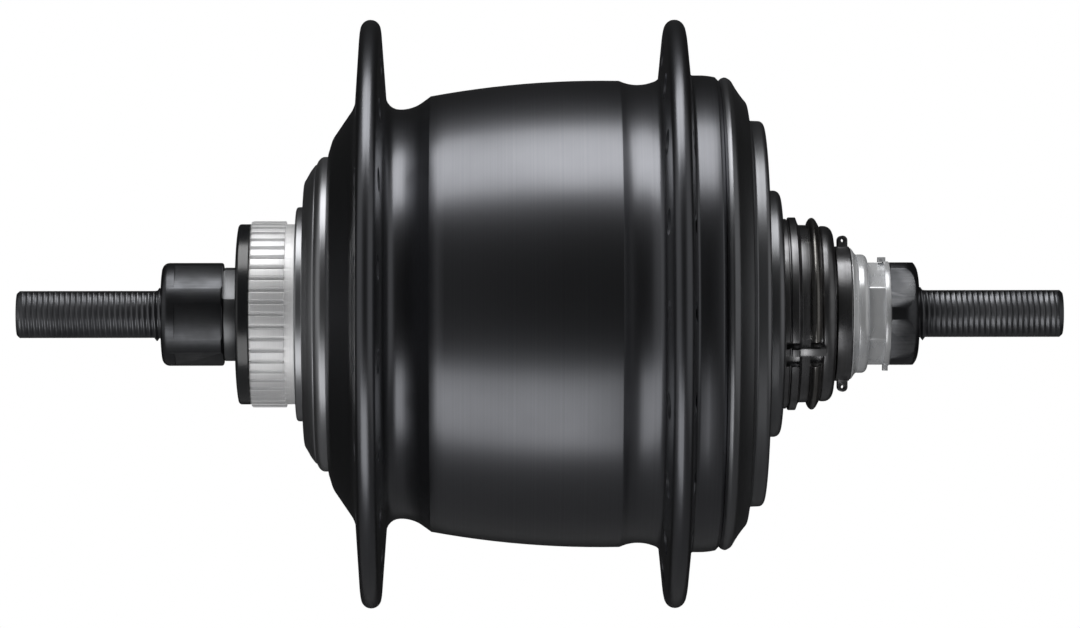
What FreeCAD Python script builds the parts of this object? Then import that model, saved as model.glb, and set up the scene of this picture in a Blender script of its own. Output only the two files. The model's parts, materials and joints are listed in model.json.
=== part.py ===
import FreeCAD, Part
import math
import os
import re
import Sketcher

# Internal gear hub with eight speeds, in millimetres.
# X runs along the axle towards the drive side, Z is up, the origin is in the middle of the axle.

Vector = FreeCAD.Vector
DOC = FreeCAD.newDocument("InternalGearHub")
SHEET = DOC.addObject("Spreadsheet::Sheet", "Sizes")

# Driving dimensions, one cell each
SIZES = {
    # Axle
    "axle_length": 187.0,
    "over_lock_nuts": 135.0,
    "thread_radius": 4.7625,
    "axle_chamfer": 1.0,
    "axle_flat_height": 4.2,
    "axle_flat_margin": 1.2,
    "axle_core_radius": 6.0,
    "axle_core_margin": 1.3,
    "axle_collar_radius": 8.0,
    "axle_collar_length": 4.2,
    "axle_bar_radius": 5.15,
    # Lock nuts, stop nut and washer
    "nut_radius": 9.3,
    "nut_across_flats": 17.2,
    "nut_round": 1.3,
    "nut_edge": 0.4,
    "left_nut_length": 11.0,
    "left_nut_collar": 2.4,
    "left_nut_turn": 9.0,
    "right_nut_length": 5.2,
    "right_nut_radius": 10.0,
    "right_nut_across": 18.3,
    "right_nut_round": 2.8,
    "washer_thickness": 0.9,
    "washer_radius": 9.45,
    "washer_tab_width": 2.2,
    "washer_tab_height": 0.85,
    "washer_tab_reach": 1.1,
    "stop_nut_length": 3.0,
    "stop_nut_across": 16.0,
    # Left cone and its dust cap
    "cone_neck_length": 2.3,
    "cone_neck_radius": 8.5,
    "cone_across_flats": 15.0,
    "cone_flat_turn": 135.0,
    "cone_nose": 2.8,
    "left_cap_thickness": 2.6,
    "left_cap_radius": 16.3,
    "left_cap_round": 1.9,
    "left_cap_seat_radius": 8.2,
    "left_cap_face": 5.5,
    "left_cap_rise": 0.35,
    "part_gap": 0.1,
    # Edges
    "edge_break": 0.3,
    "edge_chamfer": 0.4,
    "soft_edge": 0.5,
    # Bearings
    "ball_radius": 3.175,
    "race_gap": 0.03,
    "left_pitch_radius": 9.6,
    "left_ball_depth": 5.9,
    "left_ball_count": 8,
    "driver_pitch_radius": 10.4,
    "driver_ball_depth": 7.7,
    "driver_ball_count": 9,
    "shell_pitch_radius": 21.2,
    "shell_ball_x": 31.0,
    "shell_ball_count": 18,
    "cage_ball_gap": 0.12,
    "cage_near": 0.9,
    "cage_far": 4.0,
    "cage_inner": 2.3,
    "cage_outer": 0.9,
    "cup_wall": 1.4,
    "cup_step": 1.8,
    "cup_lip": 0.6,
    "race_shoulder": 1.2,
    "seal_gap": 0.3,
    "seal_width": 1.0,
    # Rotor mount
    "spline_length": 6.2,
    "spline_radius": 16.65,
    "spline_root_radius": 15.9,
    "spline_teeth": 48,
    "spline_shoulder_length": 1.8,
    "spline_shoulder_radius": 16.1,
    "mount_seat_radius": 18.0,
    # Left end cap
    "end_cap_length": 5.8,
    "end_cap_step_length": 1.3,
    "end_cap_step_radius": 19.4,
    "end_cap_cone_radius": 24.2,
    "end_cap_radius": 28.6,
    "end_cap_wall": 2.2,
    "end_cap_rim": 1.1,
    "end_cap_skin": 1.8,
    # Hub shell
    "flange_distance": 54.2,
    "flange_shift": -3.1,
    "flange_radius": 52.6,
    "flange_rim": 3.3,
    "flange_root": 5.4,
    "spoke_circle": 92.6,
    "spoke_count": 18,
    "spoke_hole": 2.9,
    "shell_left_radius": 30.4,
    "shell_cone_radius": 35.5,
    "barrel_left_radius": 39.0,
    "barrel_right_radius": 41.75,
    "barrel_crown": 0.85,
    "barrel_left_margin": 10.7,
    "barrel_right_margin": 9.7,
    "barrel_edge": 0.15,
    "barrel_step": 1.3,
    "left_groove_radius": 36.6,
    "right_groove_radius": 40.8,
    "cone_fillet": 1.6,
    "groove_fillet": 2.0,
    "groove_dish": 0.7,
    "end_fillet": 0.6,
    "shell_end_length": 7.9,
    "shell_end_radius": 42.65,
    "cavity_radius": 37.3,
    "race_radius": 30.0,
    "left_wall": 4.3,
    # Right cover and ball cup
    "shell_cup_radius": 38.0,
    "shell_cup_length": 4.7,
    "cover_rim_radius": 42.3,
    "cover_rim_length": 2.1,
    "cover_rim_depth": 2.6,
    "cover_dish": 0.15,
    "cover_cone_length": 2.9,
    "cover_cone_radius": 37.7,
    "cover_step_radius": 34.7,
    "cover_step_length": 2.7,
    "cover_hole_radius": 22.7,
    "cover_wall": 1.5,
    # Driver and what is on it
    "driver_ring_radius": 17.4,
    "sprocket_seat_radius": 16.0,
    "sprocket_seat_length": 1.8,
    "snap_ring_thickness": 2.0,
    "snap_groove_radius": 15.0,
    "driver_tail_length": 2.6,
    "driver_tail_radius": 15.75,
    "driver_hub_radius": 17.0,
    "driver_collar_length": 2.2,
    "clutch_bore_radius": 13.6,
    "carrier_bore_radius": 10.0,
    "driver_cap_radius": 22.05,
    "driver_cap_length": 3.4,
    "driver_cap_round": 1.4,
    "driver_runout": 0.6,
    "driver_tail_round": 0.8,
    "driver_seal_depth": 2.2,
    "driver_seal_inset": 0.9,
    "snap_ring_bevel": 0.7,
    "snap_ring_land": 1.2,
    "driver_pocket_depth": 2.2,
    "driver_pocket_reach": 2.0,
    "driver_pawl_offset": 0.5,
    "hub_end_gap": 1.0,
    "lug_angle": -26.0,
    "lug_notch_width": 4.8,
    "lug_notch_length": 2.9,
    "lug_rib_width": 1.3,
    "lug_notch_depth": 0.9,
    # Right cone, shift ring and its neighbours
    "cone_neck_tube_radius": 8.0,
    "cone_tube_wall": 2.15,
    "cone_end_length": 1.9,
    "cone_end_radius": 10.6,
    "cone_bead_radius": 10.6,
    "cone_bead_round": 0.9,
    "retaining_ring_length": 1.1,
    "retaining_ring_radius": 11.7,
    "shift_ring_length": 2.7,
    "shift_ring_radius": 12.05,
    "shift_lug_radius": 13.95,
    "shift_lug_width": 4.0,
    "shift_lug_length": 1.6,
    "shift_lug_margin": 0.6,
    "shift_travel": 154.0,
    "shift_tab_width": 3.0,
    "tab_window_margin": 15.0,
    "pawl_window_margin": 14.0,
    "running_gap": 0.05,
    "side_gap": 0.2,
    "sleeve_wall": 0.5,
    # Gear trains
    "centre_distance": 21.0,
    "gear_width": 4.4,
    "gear_gap": 0.4,
    "plate_thickness": 3.0,
    "planet_sleeve_wall": 1.9,
    "gears_x": -13.0,
    "pin_radius": 2.5,
    "ring_wall": 1.6,
    "backlash": 0.1,
    "carrier_left_radius": 29.8,
    "carrier_middle_radius": 34.0,
    "carrier_right_radius": 31.0,
    "pillar_inner_radius": 20.0,
    "pillar_outer_radius": 29.5,
    "planet_window_angle": 88.0,
    "carrier_hub_length": 15.5,
    "web_thickness": 2.2,
    # Roller clutch and pawls
    "roller_radius": 2.75,
    "roller_count": 12,
    "roller_length": 7.0,
    "cage_rim": 1.0,
    "cage_gap": 0.3,
    "cam_radius": 26.0,
    "cam_bore_radius": 20.0,
    "ratchet_depth": 1.2,
    "drive_ratchet_teeth": 24,
    "carrier_ratchet_teeth": 30,
    "pawl_width": 3.4,
    "sun_pawl_width": 1.6,
    "sun_pawl_length": 3.0,
    "sun_pawl_margin": 0.7,
    "sun_pawl_reach": 0.9,
    "sun_pawl_crown": 0.35,
    "sun_slot_floor": 1.0,
    # Return spring
    "spring_margin": 1.2,
    "spring_width": 2.0,
    "spring_strip": 0.35,
    "spring_pitch": 0.9,
    "spring_turns": 3.5,
}

# Stations along the axle and radii that follow from the driving dimensions
PLACES = {
    "root_step": "flange_root / 2",
    "left_face": "-over_lock_nuts / 2",
    "left_cone_x": "left_face + left_nut_length",
    "left_cap_x": "left_cone_x + cone_neck_length",
    "spline_x": "left_cap_x + left_cap_thickness + part_gap",
    "shoulder_x": "spline_x + spline_length",
    "end_cap_x": "shoulder_x + spline_shoulder_length",
    "shell_left_x": "end_cap_x + end_cap_length",
    "cavity_left_x": "shell_left_x + left_wall",
    "left_flange_x": "flange_shift - flange_distance / 2",
    "right_flange_x": "flange_shift + flange_distance / 2",
    "shell_right_x": "right_flange_x + shell_end_length",
    "right_face": "over_lock_nuts / 2",
    "right_nut_x": "right_face - right_nut_length",
    "washer_x": "right_nut_x - washer_thickness",
    "stop_nut_x": "washer_x - stop_nut_length",
    "cone_end_x": "stop_nut_x - cone_end_length",
    "retaining_x": "cone_end_x - retaining_ring_length",
    "shift_ring_x": "retaining_x - side_gap / 2 - shift_ring_length",
    "driver_end_x": "shift_ring_x - side_gap",
    "tail_x": "driver_end_x - driver_tail_length",
    "snap_x": "tail_x - snap_ring_thickness - part_gap",
    "seat_x": "snap_x - sprocket_seat_length",
    "driver_ball_x": "driver_end_x - driver_ball_depth",
    "left_ball_x": "spline_x + left_ball_depth",
    "race": "ball_radius + race_gap",
    "left_cup_bore": "left_pitch_radius + race",
    "left_cup_outer": "left_cup_bore + cup_wall",
    "driver_cup_bore": "driver_pitch_radius + race",
    "shell_cup_bore": "shell_pitch_radius + race",
    "collar_x": "shell_ball_x + race",
    "collar_end_x": "collar_x + driver_collar_length",
    "cup_x": "shell_right_x - shell_cup_length",
    "cover_cone_x": "shell_right_x + cover_rim_length",
    "cover_step_x": "cover_cone_x + cover_cone_length + 0.4",
    "cover_end_x": "cover_step_x + cover_step_length",
    "driver_dust_x": "cover_end_x - 0.2",
    "sleeve_radius": "axle_bar_radius + running_gap",
    "sleeve_outer": "sleeve_radius + sleeve_wall",
    "sun_bore": "sleeve_outer + running_gap",
    "cone_bore": "cone_neck_tube_radius - cone_tube_wall",
    "sleeve_x": "gears_x - gear_gap / 2",
    "sleeve_end_x": "retaining_x - side_gap",
    "high_ring_x": "gears_x",
    "middle_step_x": "gears_x + gear_width + gear_gap",
    "low_step_x": "middle_step_x + gear_width + gear_gap",
    "middle_plate_x": "low_step_x + gear_width + gear_gap",
    "low_sun_x": "middle_plate_x + plate_thickness + gear_gap",
    "low_ring_x": "low_sun_x + gear_width + gear_gap",
    "right_plate_x": "low_ring_x + gear_width + gear_gap",
    "right_plate_end_x": "right_plate_x + plate_thickness",
    "left_plate_x": "gears_x - gear_gap - plate_thickness",
    "left_web_x": "left_plate_x - gear_gap - web_thickness",
    "right_web_x": "right_plate_end_x + 1.5",
    "right_web_end_x": "right_web_x + web_thickness",
    "drive_ratchet_end_x": "right_web_end_x + pawl_width + 2",
    "driver_left_x": "right_web_x + gear_gap / 2",
    "carrier_hub_end_x": "right_plate_end_x + carrier_hub_length",
    "low_module": "2 * centre_distance / (low_sun_teeth + low_planet_teeth)",
    "high_module": "2 * centre_distance / (high_sun_teeth + high_planet_teeth)",
    "ratchet_radius": "driver_hub_radius + 0.3",
    "carrier_ratchet_radius": "carrier_left_radius + 0.8",
    "cage_x": "left_web_x - part_gap - roller_length - 1.2",
}

# Tooth counts of the two planetary sets
TEETH = {
    "low_sun_teeth": 30,
    "low_planet_teeth": 12,
    "low_drive_teeth": 24,
    "low_ring_teeth": 66,
    "second_sun_teeth": 15,
    "second_planet_teeth": 24,
    "third_sun_teeth": 21,
    "third_planet_teeth": 18,
    "high_sun_teeth": 24,
    "high_planet_teeth": 15,
    "high_ring_teeth": 63,
}
PRESSURE_ANGLE = math.radians(25.0)
ADDENDUM = 0.8
DEDENDUM = 1.0
SPACE_FOOT = 0.22
SPACE_MOUTH = 0.34
CARRIER_LEAN = 1.5
ROLLER_GAP = 0.02
CUT_MARGIN = 0.02
PLANETS = 3
PLANET_ANGLE = 90.0
FULL_TURN = 360.0


# Pawls on the axle: the sun gear that each one holds and where it lies
SUN_PAWL_STATIONS = [
    ("first_sun", "low_sun_x + sun_pawl_margin"),
    ("second_sun", "gears_x + sun_pawl_margin"),
    ("third_sun", "middle_step_x + sun_pawl_margin"),
    ("fourth_sun", "low_step_x + sun_pawl_margin"),
]
HELD_SUNS = ("first_sun", "fourth_sun")

NODES = []


def fill_sheet():
    """Write every driving dimension into its own named cell."""
    for row, (name, value) in enumerate(list(SIZES.items()) + list(TEETH.items()), start=1):
        SHEET.set("A%d" % row, name.replace("_", " "))
        SHEET.set("B%d" % row, "%g" % value)
        SHEET.setAlias("B%d" % row, name)
    DOC.recompute()


def bound(text):
    """Expand an expression of place and size names to cells of the sheet."""
    def swap(match):
        word = match.group()
        if word in PLACES:
            return "(" + bound(PLACES[word]) + ")"
        if word in SIZES or word in TEETH:
            return "Sizes." + word
        return word
    return re.sub(r"[a-z][a-z_]*", swap, str(text))


def number(text):
    """Value of an expression, in millimetres, degrees or a count."""
    value = SHEET.evalExpression(bound(text))
    return float(getattr(value, "Value", value))


def count(text):
    return int(round(number(text)))


def new_body(name):
    body = DOC.addObject("PartDesign::Body", name)
    body.Label = name
    NODES.append(body)
    return body


def new_sketch(body, name, role, offset=None):
    """Sketch on one of the body's own origin planes, moved along its normal by an expression."""
    plane = next(item for item in body.Origin.OriginFeatures if item.Role == role)
    sketch = body.newObject("Sketcher::SketchObject", body.Name + "_" + name)
    sketch.AttachmentSupport = [(plane, "")]
    sketch.MapMode = "FlatFace"
    if offset is not None:
        sketch.setExpression("AttachmentOffset.Base.z", bound(offset))
    return sketch


def arc_between(start, end, radius, side):
    """Minor arc from start to end with its centre on the right (-1) or left (+1) of the way."""
    chord = math.dist(start, end)
    along = ((end[0] - start[0]) / chord, (end[1] - start[1]) / chord)
    normal = (-side * along[1], side * along[0])
    reach = math.sqrt(max(radius * radius - chord * chord / 4, 0.0))
    centre = [(start[n] + end[n]) / 2 + normal[n] * reach for n in range(2)]
    first, last = (start, end) if side > 0 else (end, start)
    begin = math.atan2(first[1] - centre[1], first[0] - centre[0])
    finish = math.atan2(last[1] - centre[1], last[0] - centre[0])
    if finish <= begin:
        finish += 2 * math.pi
    circle = Part.Circle(Vector(centre[0], centre[1], 0), Vector(0, 0, 1), radius)
    return Part.ArcOfCircle(circle, begin, finish)


def draw(sketch, outline):
    """Draw a closed outline, clockwise, and tie every corner and radius to the sheet.

    A corner is (across, up) or (across, up, kind, amount): kind round or hollow gives the edge
    to the next corner a radius, crown or dish gives it a rise over its chord.
    """
    total = len(outline)
    corners = [(number(item[0]), number(item[1])) for item in outline]
    first = sketch.GeometryCount
    ends = []
    radii = []
    for index, item in enumerate(outline):
        start = corners[index]
        end = corners[(index + 1) % total]
        if len(item) == 2:
            sketch.addGeometry(Part.LineSegment(Vector(*start, 0), Vector(*end, 0)))
            ends.append((1, 2))
            continue
        kind, amount = item[2], bound(item[3])
        side = 1 if kind in ("hollow", "dish") else -1
        if kind in ("crown", "dish"):
            run, rise = ["(%s) - (%s)" % (bound(outline[(index + 1) % total][n]), bound(item[n]))
                         for n in range(2)]
            amount = "((%s)^2 + (%s)^2) / (8 * (%s)) + (%s) / 2" % (run, rise, amount, amount)
        radius = float(SHEET.evalExpression(amount))
        sketch.addGeometry(arc_between(start, end, radius, side))
        ends.append((1, 2) if side > 0 else (2, 1))
        radii.append((first + index, radius, amount))
    for index in range(total):
        follower = (index + 1) % total
        sketch.addConstraint(Sketcher.Constraint(
            "Coincident", first + index, ends[index][1], first + follower, ends[follower][0]))
    for index, item in enumerate(outline):
        for axis, kind in enumerate(("DistanceX", "DistanceY")):
            tie = sketch.addConstraint(Sketcher.Constraint(
                kind, -1, 1, first + index, ends[index][0], corners[index][axis]))
            sketch.setExpression("Constraints[%d]" % tie, bound(item[axis]))
    for edge, radius, amount in radii:
        tie = sketch.addConstraint(Sketcher.Constraint("Radius", edge, radius))
        sketch.setExpression("Constraints[%d]" % tie, amount)


def turned(name, outline):
    """Body of revolution about the axle from an outline of (x, radius) corners."""
    body = new_body(name)
    sketch = new_sketch(body, "profile", "XY_Plane")
    draw(sketch, outline)
    turn = body.newObject("PartDesign::Revolution", name + "_turn")
    turn.Profile = sketch
    turn.ReferenceAxis = (sketch, ["H_Axis"])
    turn.Angle = FULL_TURN
    body.Tip = turn
    return body


def around(angle, radius):
    """Y and Z expressions of a point at an angle in degrees and a radius expression."""
    turn = math.radians(angle)
    return ("(%s) * %.9f" % (radius, math.cos(turn)), "(%s) * %.9f" % (radius, math.sin(turn)))


def polygon(points):
    """Outline through (angle, radius) points, in the order that the sketch needs."""
    return [around(angle, radius) for angle, radius in points]


def fan(start, end, reach):
    """Outline of a sector from the centre, from one angle to another, out past a reach."""
    return [("0", "0")] + polygon([(end - (end - start) * step / 4, reach) for step in range(5)])


def cut_along(body, name, outlines, start, length):
    """Cut outlines in the YZ plane out of a body, from start along X, and check the volume."""
    DOC.recompute()
    before = body.Shape.Volume
    sketch = new_sketch(body, name + "_sketch", "YZ_Plane", start)
    for outline in outlines:
        draw(sketch, outline)
    pocket = body.newObject("PartDesign::Pocket", body.Name + "_" + name)
    pocket.Profile = sketch
    pocket.Reversed = True
    pocket.setExpression("Length", bound(length))
    body.Tip = pocket
    DOC.recompute()
    if not body.Shape.Volume < before - 1e-3:
        raise RuntimeError("%s of %s cuts nothing" % (name, body.Name))
    return pocket


def cut_round(body, name, angle, pitch, radius, start, length):
    """Cut one round hole parallel to the axle, at an angle and a pitch radius."""
    DOC.recompute()
    before = body.Shape.Volume
    sketch = new_sketch(body, name + "_sketch", "YZ_Plane", start)
    texts = around(angle, bound(pitch))
    centre = [float(SHEET.evalExpression(text)) for text in texts]
    sketch.addGeometry(Part.Circle(Vector(centre[0], centre[1], 0), Vector(0, 0, 1), number(radius)))
    for kind, text, value in zip(("DistanceX", "DistanceY"), texts, centre):
        tie = sketch.addConstraint(Sketcher.Constraint(kind, -1, 1, 0, 3, value))
        sketch.setExpression("Constraints[%d]" % tie, text)
    tie = sketch.addConstraint(Sketcher.Constraint("Radius", 0, number(radius)))
    sketch.setExpression("Constraints[%d]" % tie, bound(radius))
    pocket = body.newObject("PartDesign::Pocket", body.Name + "_" + name)
    pocket.Profile = sketch
    pocket.Reversed = True
    pocket.setExpression("Length", bound(length))
    body.Tip = pocket
    DOC.recompute()
    if not body.Shape.Volume < before - 1e-3:
        raise RuntimeError("%s of %s cuts nothing" % (name, body.Name))
    return pocket


def add_along(body, name, outlines, start, length):
    """Add outlines in the YZ plane to a body, from start along X."""
    sketch = new_sketch(body, name + "_sketch", "YZ_Plane", start)
    for outline in outlines:
        draw(sketch, outline)
    pad = body.newObject("PartDesign::Pad", body.Name + "_" + name)
    pad.Profile = sketch
    pad.setExpression("Length", bound(length))
    body.Tip = pad
    return pad


def add_across(body, name, outline, width):
    """Add an outline in the XZ plane to a body, over a width that is centred on the axle."""
    sketch = new_sketch(body, name + "_sketch", "XZ_Plane")
    draw(sketch, outline)
    pad = body.newObject("PartDesign::Pad", body.Name + "_" + name)
    pad.Profile = sketch
    pad.Midplane = True
    pad.setExpression("Length", bound(width))
    body.Tip = pad
    return pad


def repeat(body, feature, copies):
    """Polar pattern of a feature about the axle."""
    axis = next(item for item in body.Origin.OriginFeatures if item.Role == "X_Axis")
    pattern = body.newObject("PartDesign::PolarPattern", feature.Name + "_pattern")
    pattern.Originals = [feature]
    pattern.Axis = (axis, [""])
    pattern.Angle = FULL_TURN
    pattern.setExpression("Occurrences", bound(copies))
    body.Tip = pattern
    DOC.recompute()
    return pattern


def hexagon(across, turn):
    return polygon([(turn + 30 - 60 * step, "(%s) / 2 / %.9f" % (across, math.cos(math.pi / 6)))
                    for step in range(6)])


def turned_box(angle, near, far, low, high):
    """Box across from near to far and out from low to high, standing at an angle about the axle."""
    turn = math.radians(angle)
    corners = [(near, low), (near, high), (far, high), (far, low)]
    return [("(%s) * %.9f + (%s) * %.9f" % (across, math.sin(turn), out, math.cos(turn)),
             "(%s) * %.9f + (%s) * %.9f" % (across, -math.cos(turn), out, math.sin(turn)))
            for across, out in corners]


def square_frame(size):
    return [("-" + size, "-" + size), ("-" + size, size), (size, size), (size, "-" + size)]


def wrench_flats(body, across, start, length, turn):
    """Six flats cut on a round blank."""
    cut_along(body, "flats", [square_frame("2 * nut_radius"), hexagon(across, turn)], start, length)


def feature(name, shape):
    """Sub-part whose shape is made by formula."""
    item = DOC.addObject("Part::Feature", name)
    item.Label = name
    item.Shape = shape
    NODES.append(item)
    return item


def compound(name, parts):
    """Node of several separate solids of one kind."""
    item = DOC.addObject("Part::Compound", name)
    item.Label = name
    item.Links = parts
    NODES.append(item)
    return item


def place_on_circle(item, x, angle, radius):
    y, z = around(angle, bound(radius))
    item.setExpression("Placement.Base.x", bound(x))
    item.setExpression("Placement.Base.y", y)
    item.setExpression("Placement.Base.z", z)


def rods(name, copies, first_angle, pitch, radius, start, length):
    """Equal round rods parallel to the axle, on a circle."""
    total = count(copies)
    parts = []
    for index in range(total):
        rod = DOC.addObject("Part::Cylinder", "%s_%d" % (name, index + 1))
        rod.setExpression("Radius", bound(radius))
        rod.setExpression("Height", bound(length))
        rod.Placement = FreeCAD.Placement(Vector(0, 0, 0), FreeCAD.Rotation(Vector(0, 1, 0), 90))
        place_on_circle(rod, start, first_angle + FULL_TURN * index / total, pitch)
        parts.append(rod)
    return compound(name, parts)


def balls(name, copies, x, pitch):
    """Bearing balls on a circle."""
    total = count(copies)
    parts = []
    for index in range(total):
        ball = DOC.addObject("Part::Sphere", "%s_%d" % (name, index + 1))
        ball.setExpression("Radius", bound("ball_radius"))
        place_on_circle(ball, x, FULL_TURN * index / total, pitch)
        parts.append(ball)
    return compound(name, parts)


def ball_cage(name, copies, x, pitch, side):
    """Ring beside the balls with a round pocket for each; side +1 lies right of the balls."""
    near, far = ("cage_near", "cage_far") if side > 0 else ("-cage_far", "-cage_near")
    low, high = "%s - cage_inner" % pitch, "%s - cage_outer" % pitch
    body = turned(name, [
        ("%s + %s" % (x, near), low), ("%s + %s" % (x, near), high),
        ("%s + %s" % (x, far), high), ("%s + %s" % (x, far), low)])
    sketch = new_sketch(body, "pocket", "XY_Plane")
    reach = "ball_radius + cage_ball_gap"
    draw(sketch, [("%s - (%s)" % (x, reach), pitch, "round", reach + " + 0.0001"),
                  ("%s + %s" % (x, reach), pitch)])
    groove = body.newObject("PartDesign::Groove", name + "_pocket")
    groove.Profile = sketch
    groove.ReferenceAxis = (sketch, ["Edge2"])
    groove.Angle = FULL_TURN
    body.Tip = groove
    DOC.recompute()
    repeat(body, groove, copies)
    return body


def involute_angle(base, radius):
    """Polar angle of an involute at a radius, from where it leaves its base circle."""
    if radius <= base:
        return 0.0
    spread = math.acos(base / radius)
    return math.tan(spread) - spread


def gear_wire(teeth, module, tooth_angle, outer, inner, thinner):
    """Closed wire in the YZ plane of a gear with a tooth centred at tooth_angle (radians)."""
    pitch_radius = teeth * module / 2
    base = pitch_radius * math.cos(PRESSURE_ANGLE)
    half = math.pi / (2 * teeth) - thinner / (4 * pitch_radius)
    half += involute_angle(base, pitch_radius)
    start = max(inner, base)
    radii = [start, (start + outer) / 2, outer]
    offsets = [half - involute_angle(base, radius) for radius in radii]

    def point(radius, angle):
        return Vector(0, radius * math.cos(angle), radius * math.sin(angle))

    edges = []
    step = 2 * math.pi / teeth
    for index in range(teeth):
        middle = tooth_angle + index * step
        rise = [point(r, middle - a) for r, a in zip(radii, offsets)]
        fall = [point(r, middle + a) for r, a in zip(reversed(radii), reversed(offsets))]
        following = middle + step - offsets[0]
        low_start = point(inner, middle + offsets[0])
        low_end = point(inner, following)
        low_middle = point(inner, (middle + offsets[0] + following) / 2)
        if start > inner + 1e-6:
            edges.append(Part.makeLine(point(inner, middle - offsets[0]), rise[0]))
        edges.append(Part.Arc(*rise).toShape())
        edges.append(Part.Arc(rise[2], point(outer, middle), fall[0]).toShape())
        edges.append(Part.Arc(*fall).toShape())
        if start > inner + 1e-6:
            edges.append(Part.makeLine(fall[2], low_start))
        edges.append(Part.Arc(low_start, low_middle, low_end).toShape())
    return Part.Wire(edges)


def gear_block(teeth, module, angle, bore_wire, start, width):
    """External gear as a solid between start and start + width."""
    pitch_radius = teeth * module / 2
    outline = gear_wire(teeth, module, math.radians(angle), pitch_radius + ADDENDUM * module,
                        pitch_radius - DEDENDUM * module, number("backlash"))
    face = Part.makeFace(Part.makeCompound([outline, bore_wire]), "Part::FaceMakerBullseye")
    face.translate(Vector(start, 0, 0))
    return face.extrude(Vector(width, 0, 0))


def ring_cutter(teeth, module, angle, start, width):
    """Solid of the tooth spaces of an internal gear, with a space centred at angle."""
    pitch_radius = teeth * module / 2
    outline = gear_wire(teeth, module, math.radians(angle), pitch_radius + DEDENDUM * module,
                        pitch_radius - ADDENDUM * module - 0.02, -number("backlash"))
    face = Part.Face(outline)
    face.translate(Vector(start, 0, 0))
    return face.extrude(Vector(width, 0, 0))


def circle_wire(radius):
    return Part.Wire(Part.makeCircle(radius, Vector(0, 0, 0), Vector(1, 0, 0)))


def notched_bore(depth_radius):
    """Round bore with six square notches for a sun pawl, one at the top."""
    radius = number("sun_bore")
    half = (number("sun_pawl_width") + 0.4) / 2
    foot = math.asin(half / radius)
    edges = []
    for index in range(6):
        middle = math.radians(90 + 60 * index)
        out = Vector(0, math.cos(middle), math.sin(middle))
        aside = Vector(0, -math.sin(middle), math.cos(middle))
        low = math.sqrt(radius * radius - half * half)
        corners = [out * low - aside * half, out * depth_radius - aside * half,
                   out * depth_radius + aside * half, out * low + aside * half]
        for first, second in zip(corners, corners[1:]):
            edges.append(Part.makeLine(first, second))
        after = math.radians(90 + 60 * (index + 1)) - foot
        between = (middle + foot + after) / 2
        edges.append(Part.Arc(
            corners[3],
            Vector(0, radius * math.cos(between), radius * math.sin(between)),
            Vector(0, radius * math.cos(after), radius * math.sin(after))).toShape())
    return Part.Wire(edges)


def sun_gear(name, teeth, module, station, notch_radius):
    module_size = number(module)
    angle = PLANET_ANGLE + 180.0 / count(teeth)
    block = gear_block(count(teeth), module_size, angle, notched_bore(notch_radius),
                       number(station), number("gear_width"))
    return feature(name, block)


def planet(name, steps, index):
    """Stepped planet gear on its pin, with a tooth of every step on the line of centres."""
    bore = number("pin_radius + running_gap")
    parts = []
    for teeth, module, station, inward in steps:
        angle = PLANET_ANGLE + (180.0 if inward else 0.0)
        parts.append(gear_block(count(teeth), number(module), angle, circle_wire(bore),
                                number(station), number("gear_width")))
    first = number(steps[0][2])
    last = number(steps[-1][2] + " + gear_width")
    sleeve = number("pin_radius + planet_sleeve_wall")
    hub = Part.makeCylinder(sleeve, last - first, Vector(first, 0, 0), Vector(1, 0, 0)).cut(
        Part.makeCylinder(bore, last - first, Vector(first, 0, 0), Vector(1, 0, 0)))
    shape = hub.fuse(parts).removeSplitter()
    if shape.ShapeType != "Solid" and len(shape.Solids) == 1:
        shape = shape.Solids[0]
    turn = FULL_TURN * index / PLANETS
    centre = FreeCAD.Rotation(Vector(1, 0, 0), turn).multVec(
        Vector(0, 0, number("centre_distance")))
    item = feature("%s_%d" % (name, index + 1), shape)
    item.Placement = FreeCAD.Placement(centre, FreeCAD.Rotation(Vector(1, 0, 0), turn))
    return item


def star_cutter(teeth, low, high, start, width, lean):
    """Solid of saw-tooth spaces: straight ramps from low to high, then a steep face."""
    points = []
    step = FULL_TURN / teeth
    for index in range(teeth):
        steep = math.radians(10.0 + PLANET_ANGLE + index * step)
        back = steep - math.radians(step - lean)
        points.append(Vector(0, low * math.cos(back), low * math.sin(back)))
        points.append(Vector(0, high * math.cos(steep), high * math.sin(steep)))
    face = Part.Face(Part.makePolygon(points + points[:1]))
    face.translate(Vector(start, 0, 0))
    return face.extrude(Vector(width, 0, 0))


def cut_node(name, base, cutters):
    """Node that is a turned blank less cutting solids."""
    NODES.remove(base)
    base.Label = name + "_blank"
    tool = DOC.addObject("Part::Feature", name + "_cutter")
    tool.Shape = Part.makeCompound(cutters)
    cut = DOC.addObject("Part::Cut", name)
    cut.Label = name
    cut.Base = base
    cut.Tool = tool
    NODES.append(cut)
    return cut


# Axle and everything fixed to it

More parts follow.
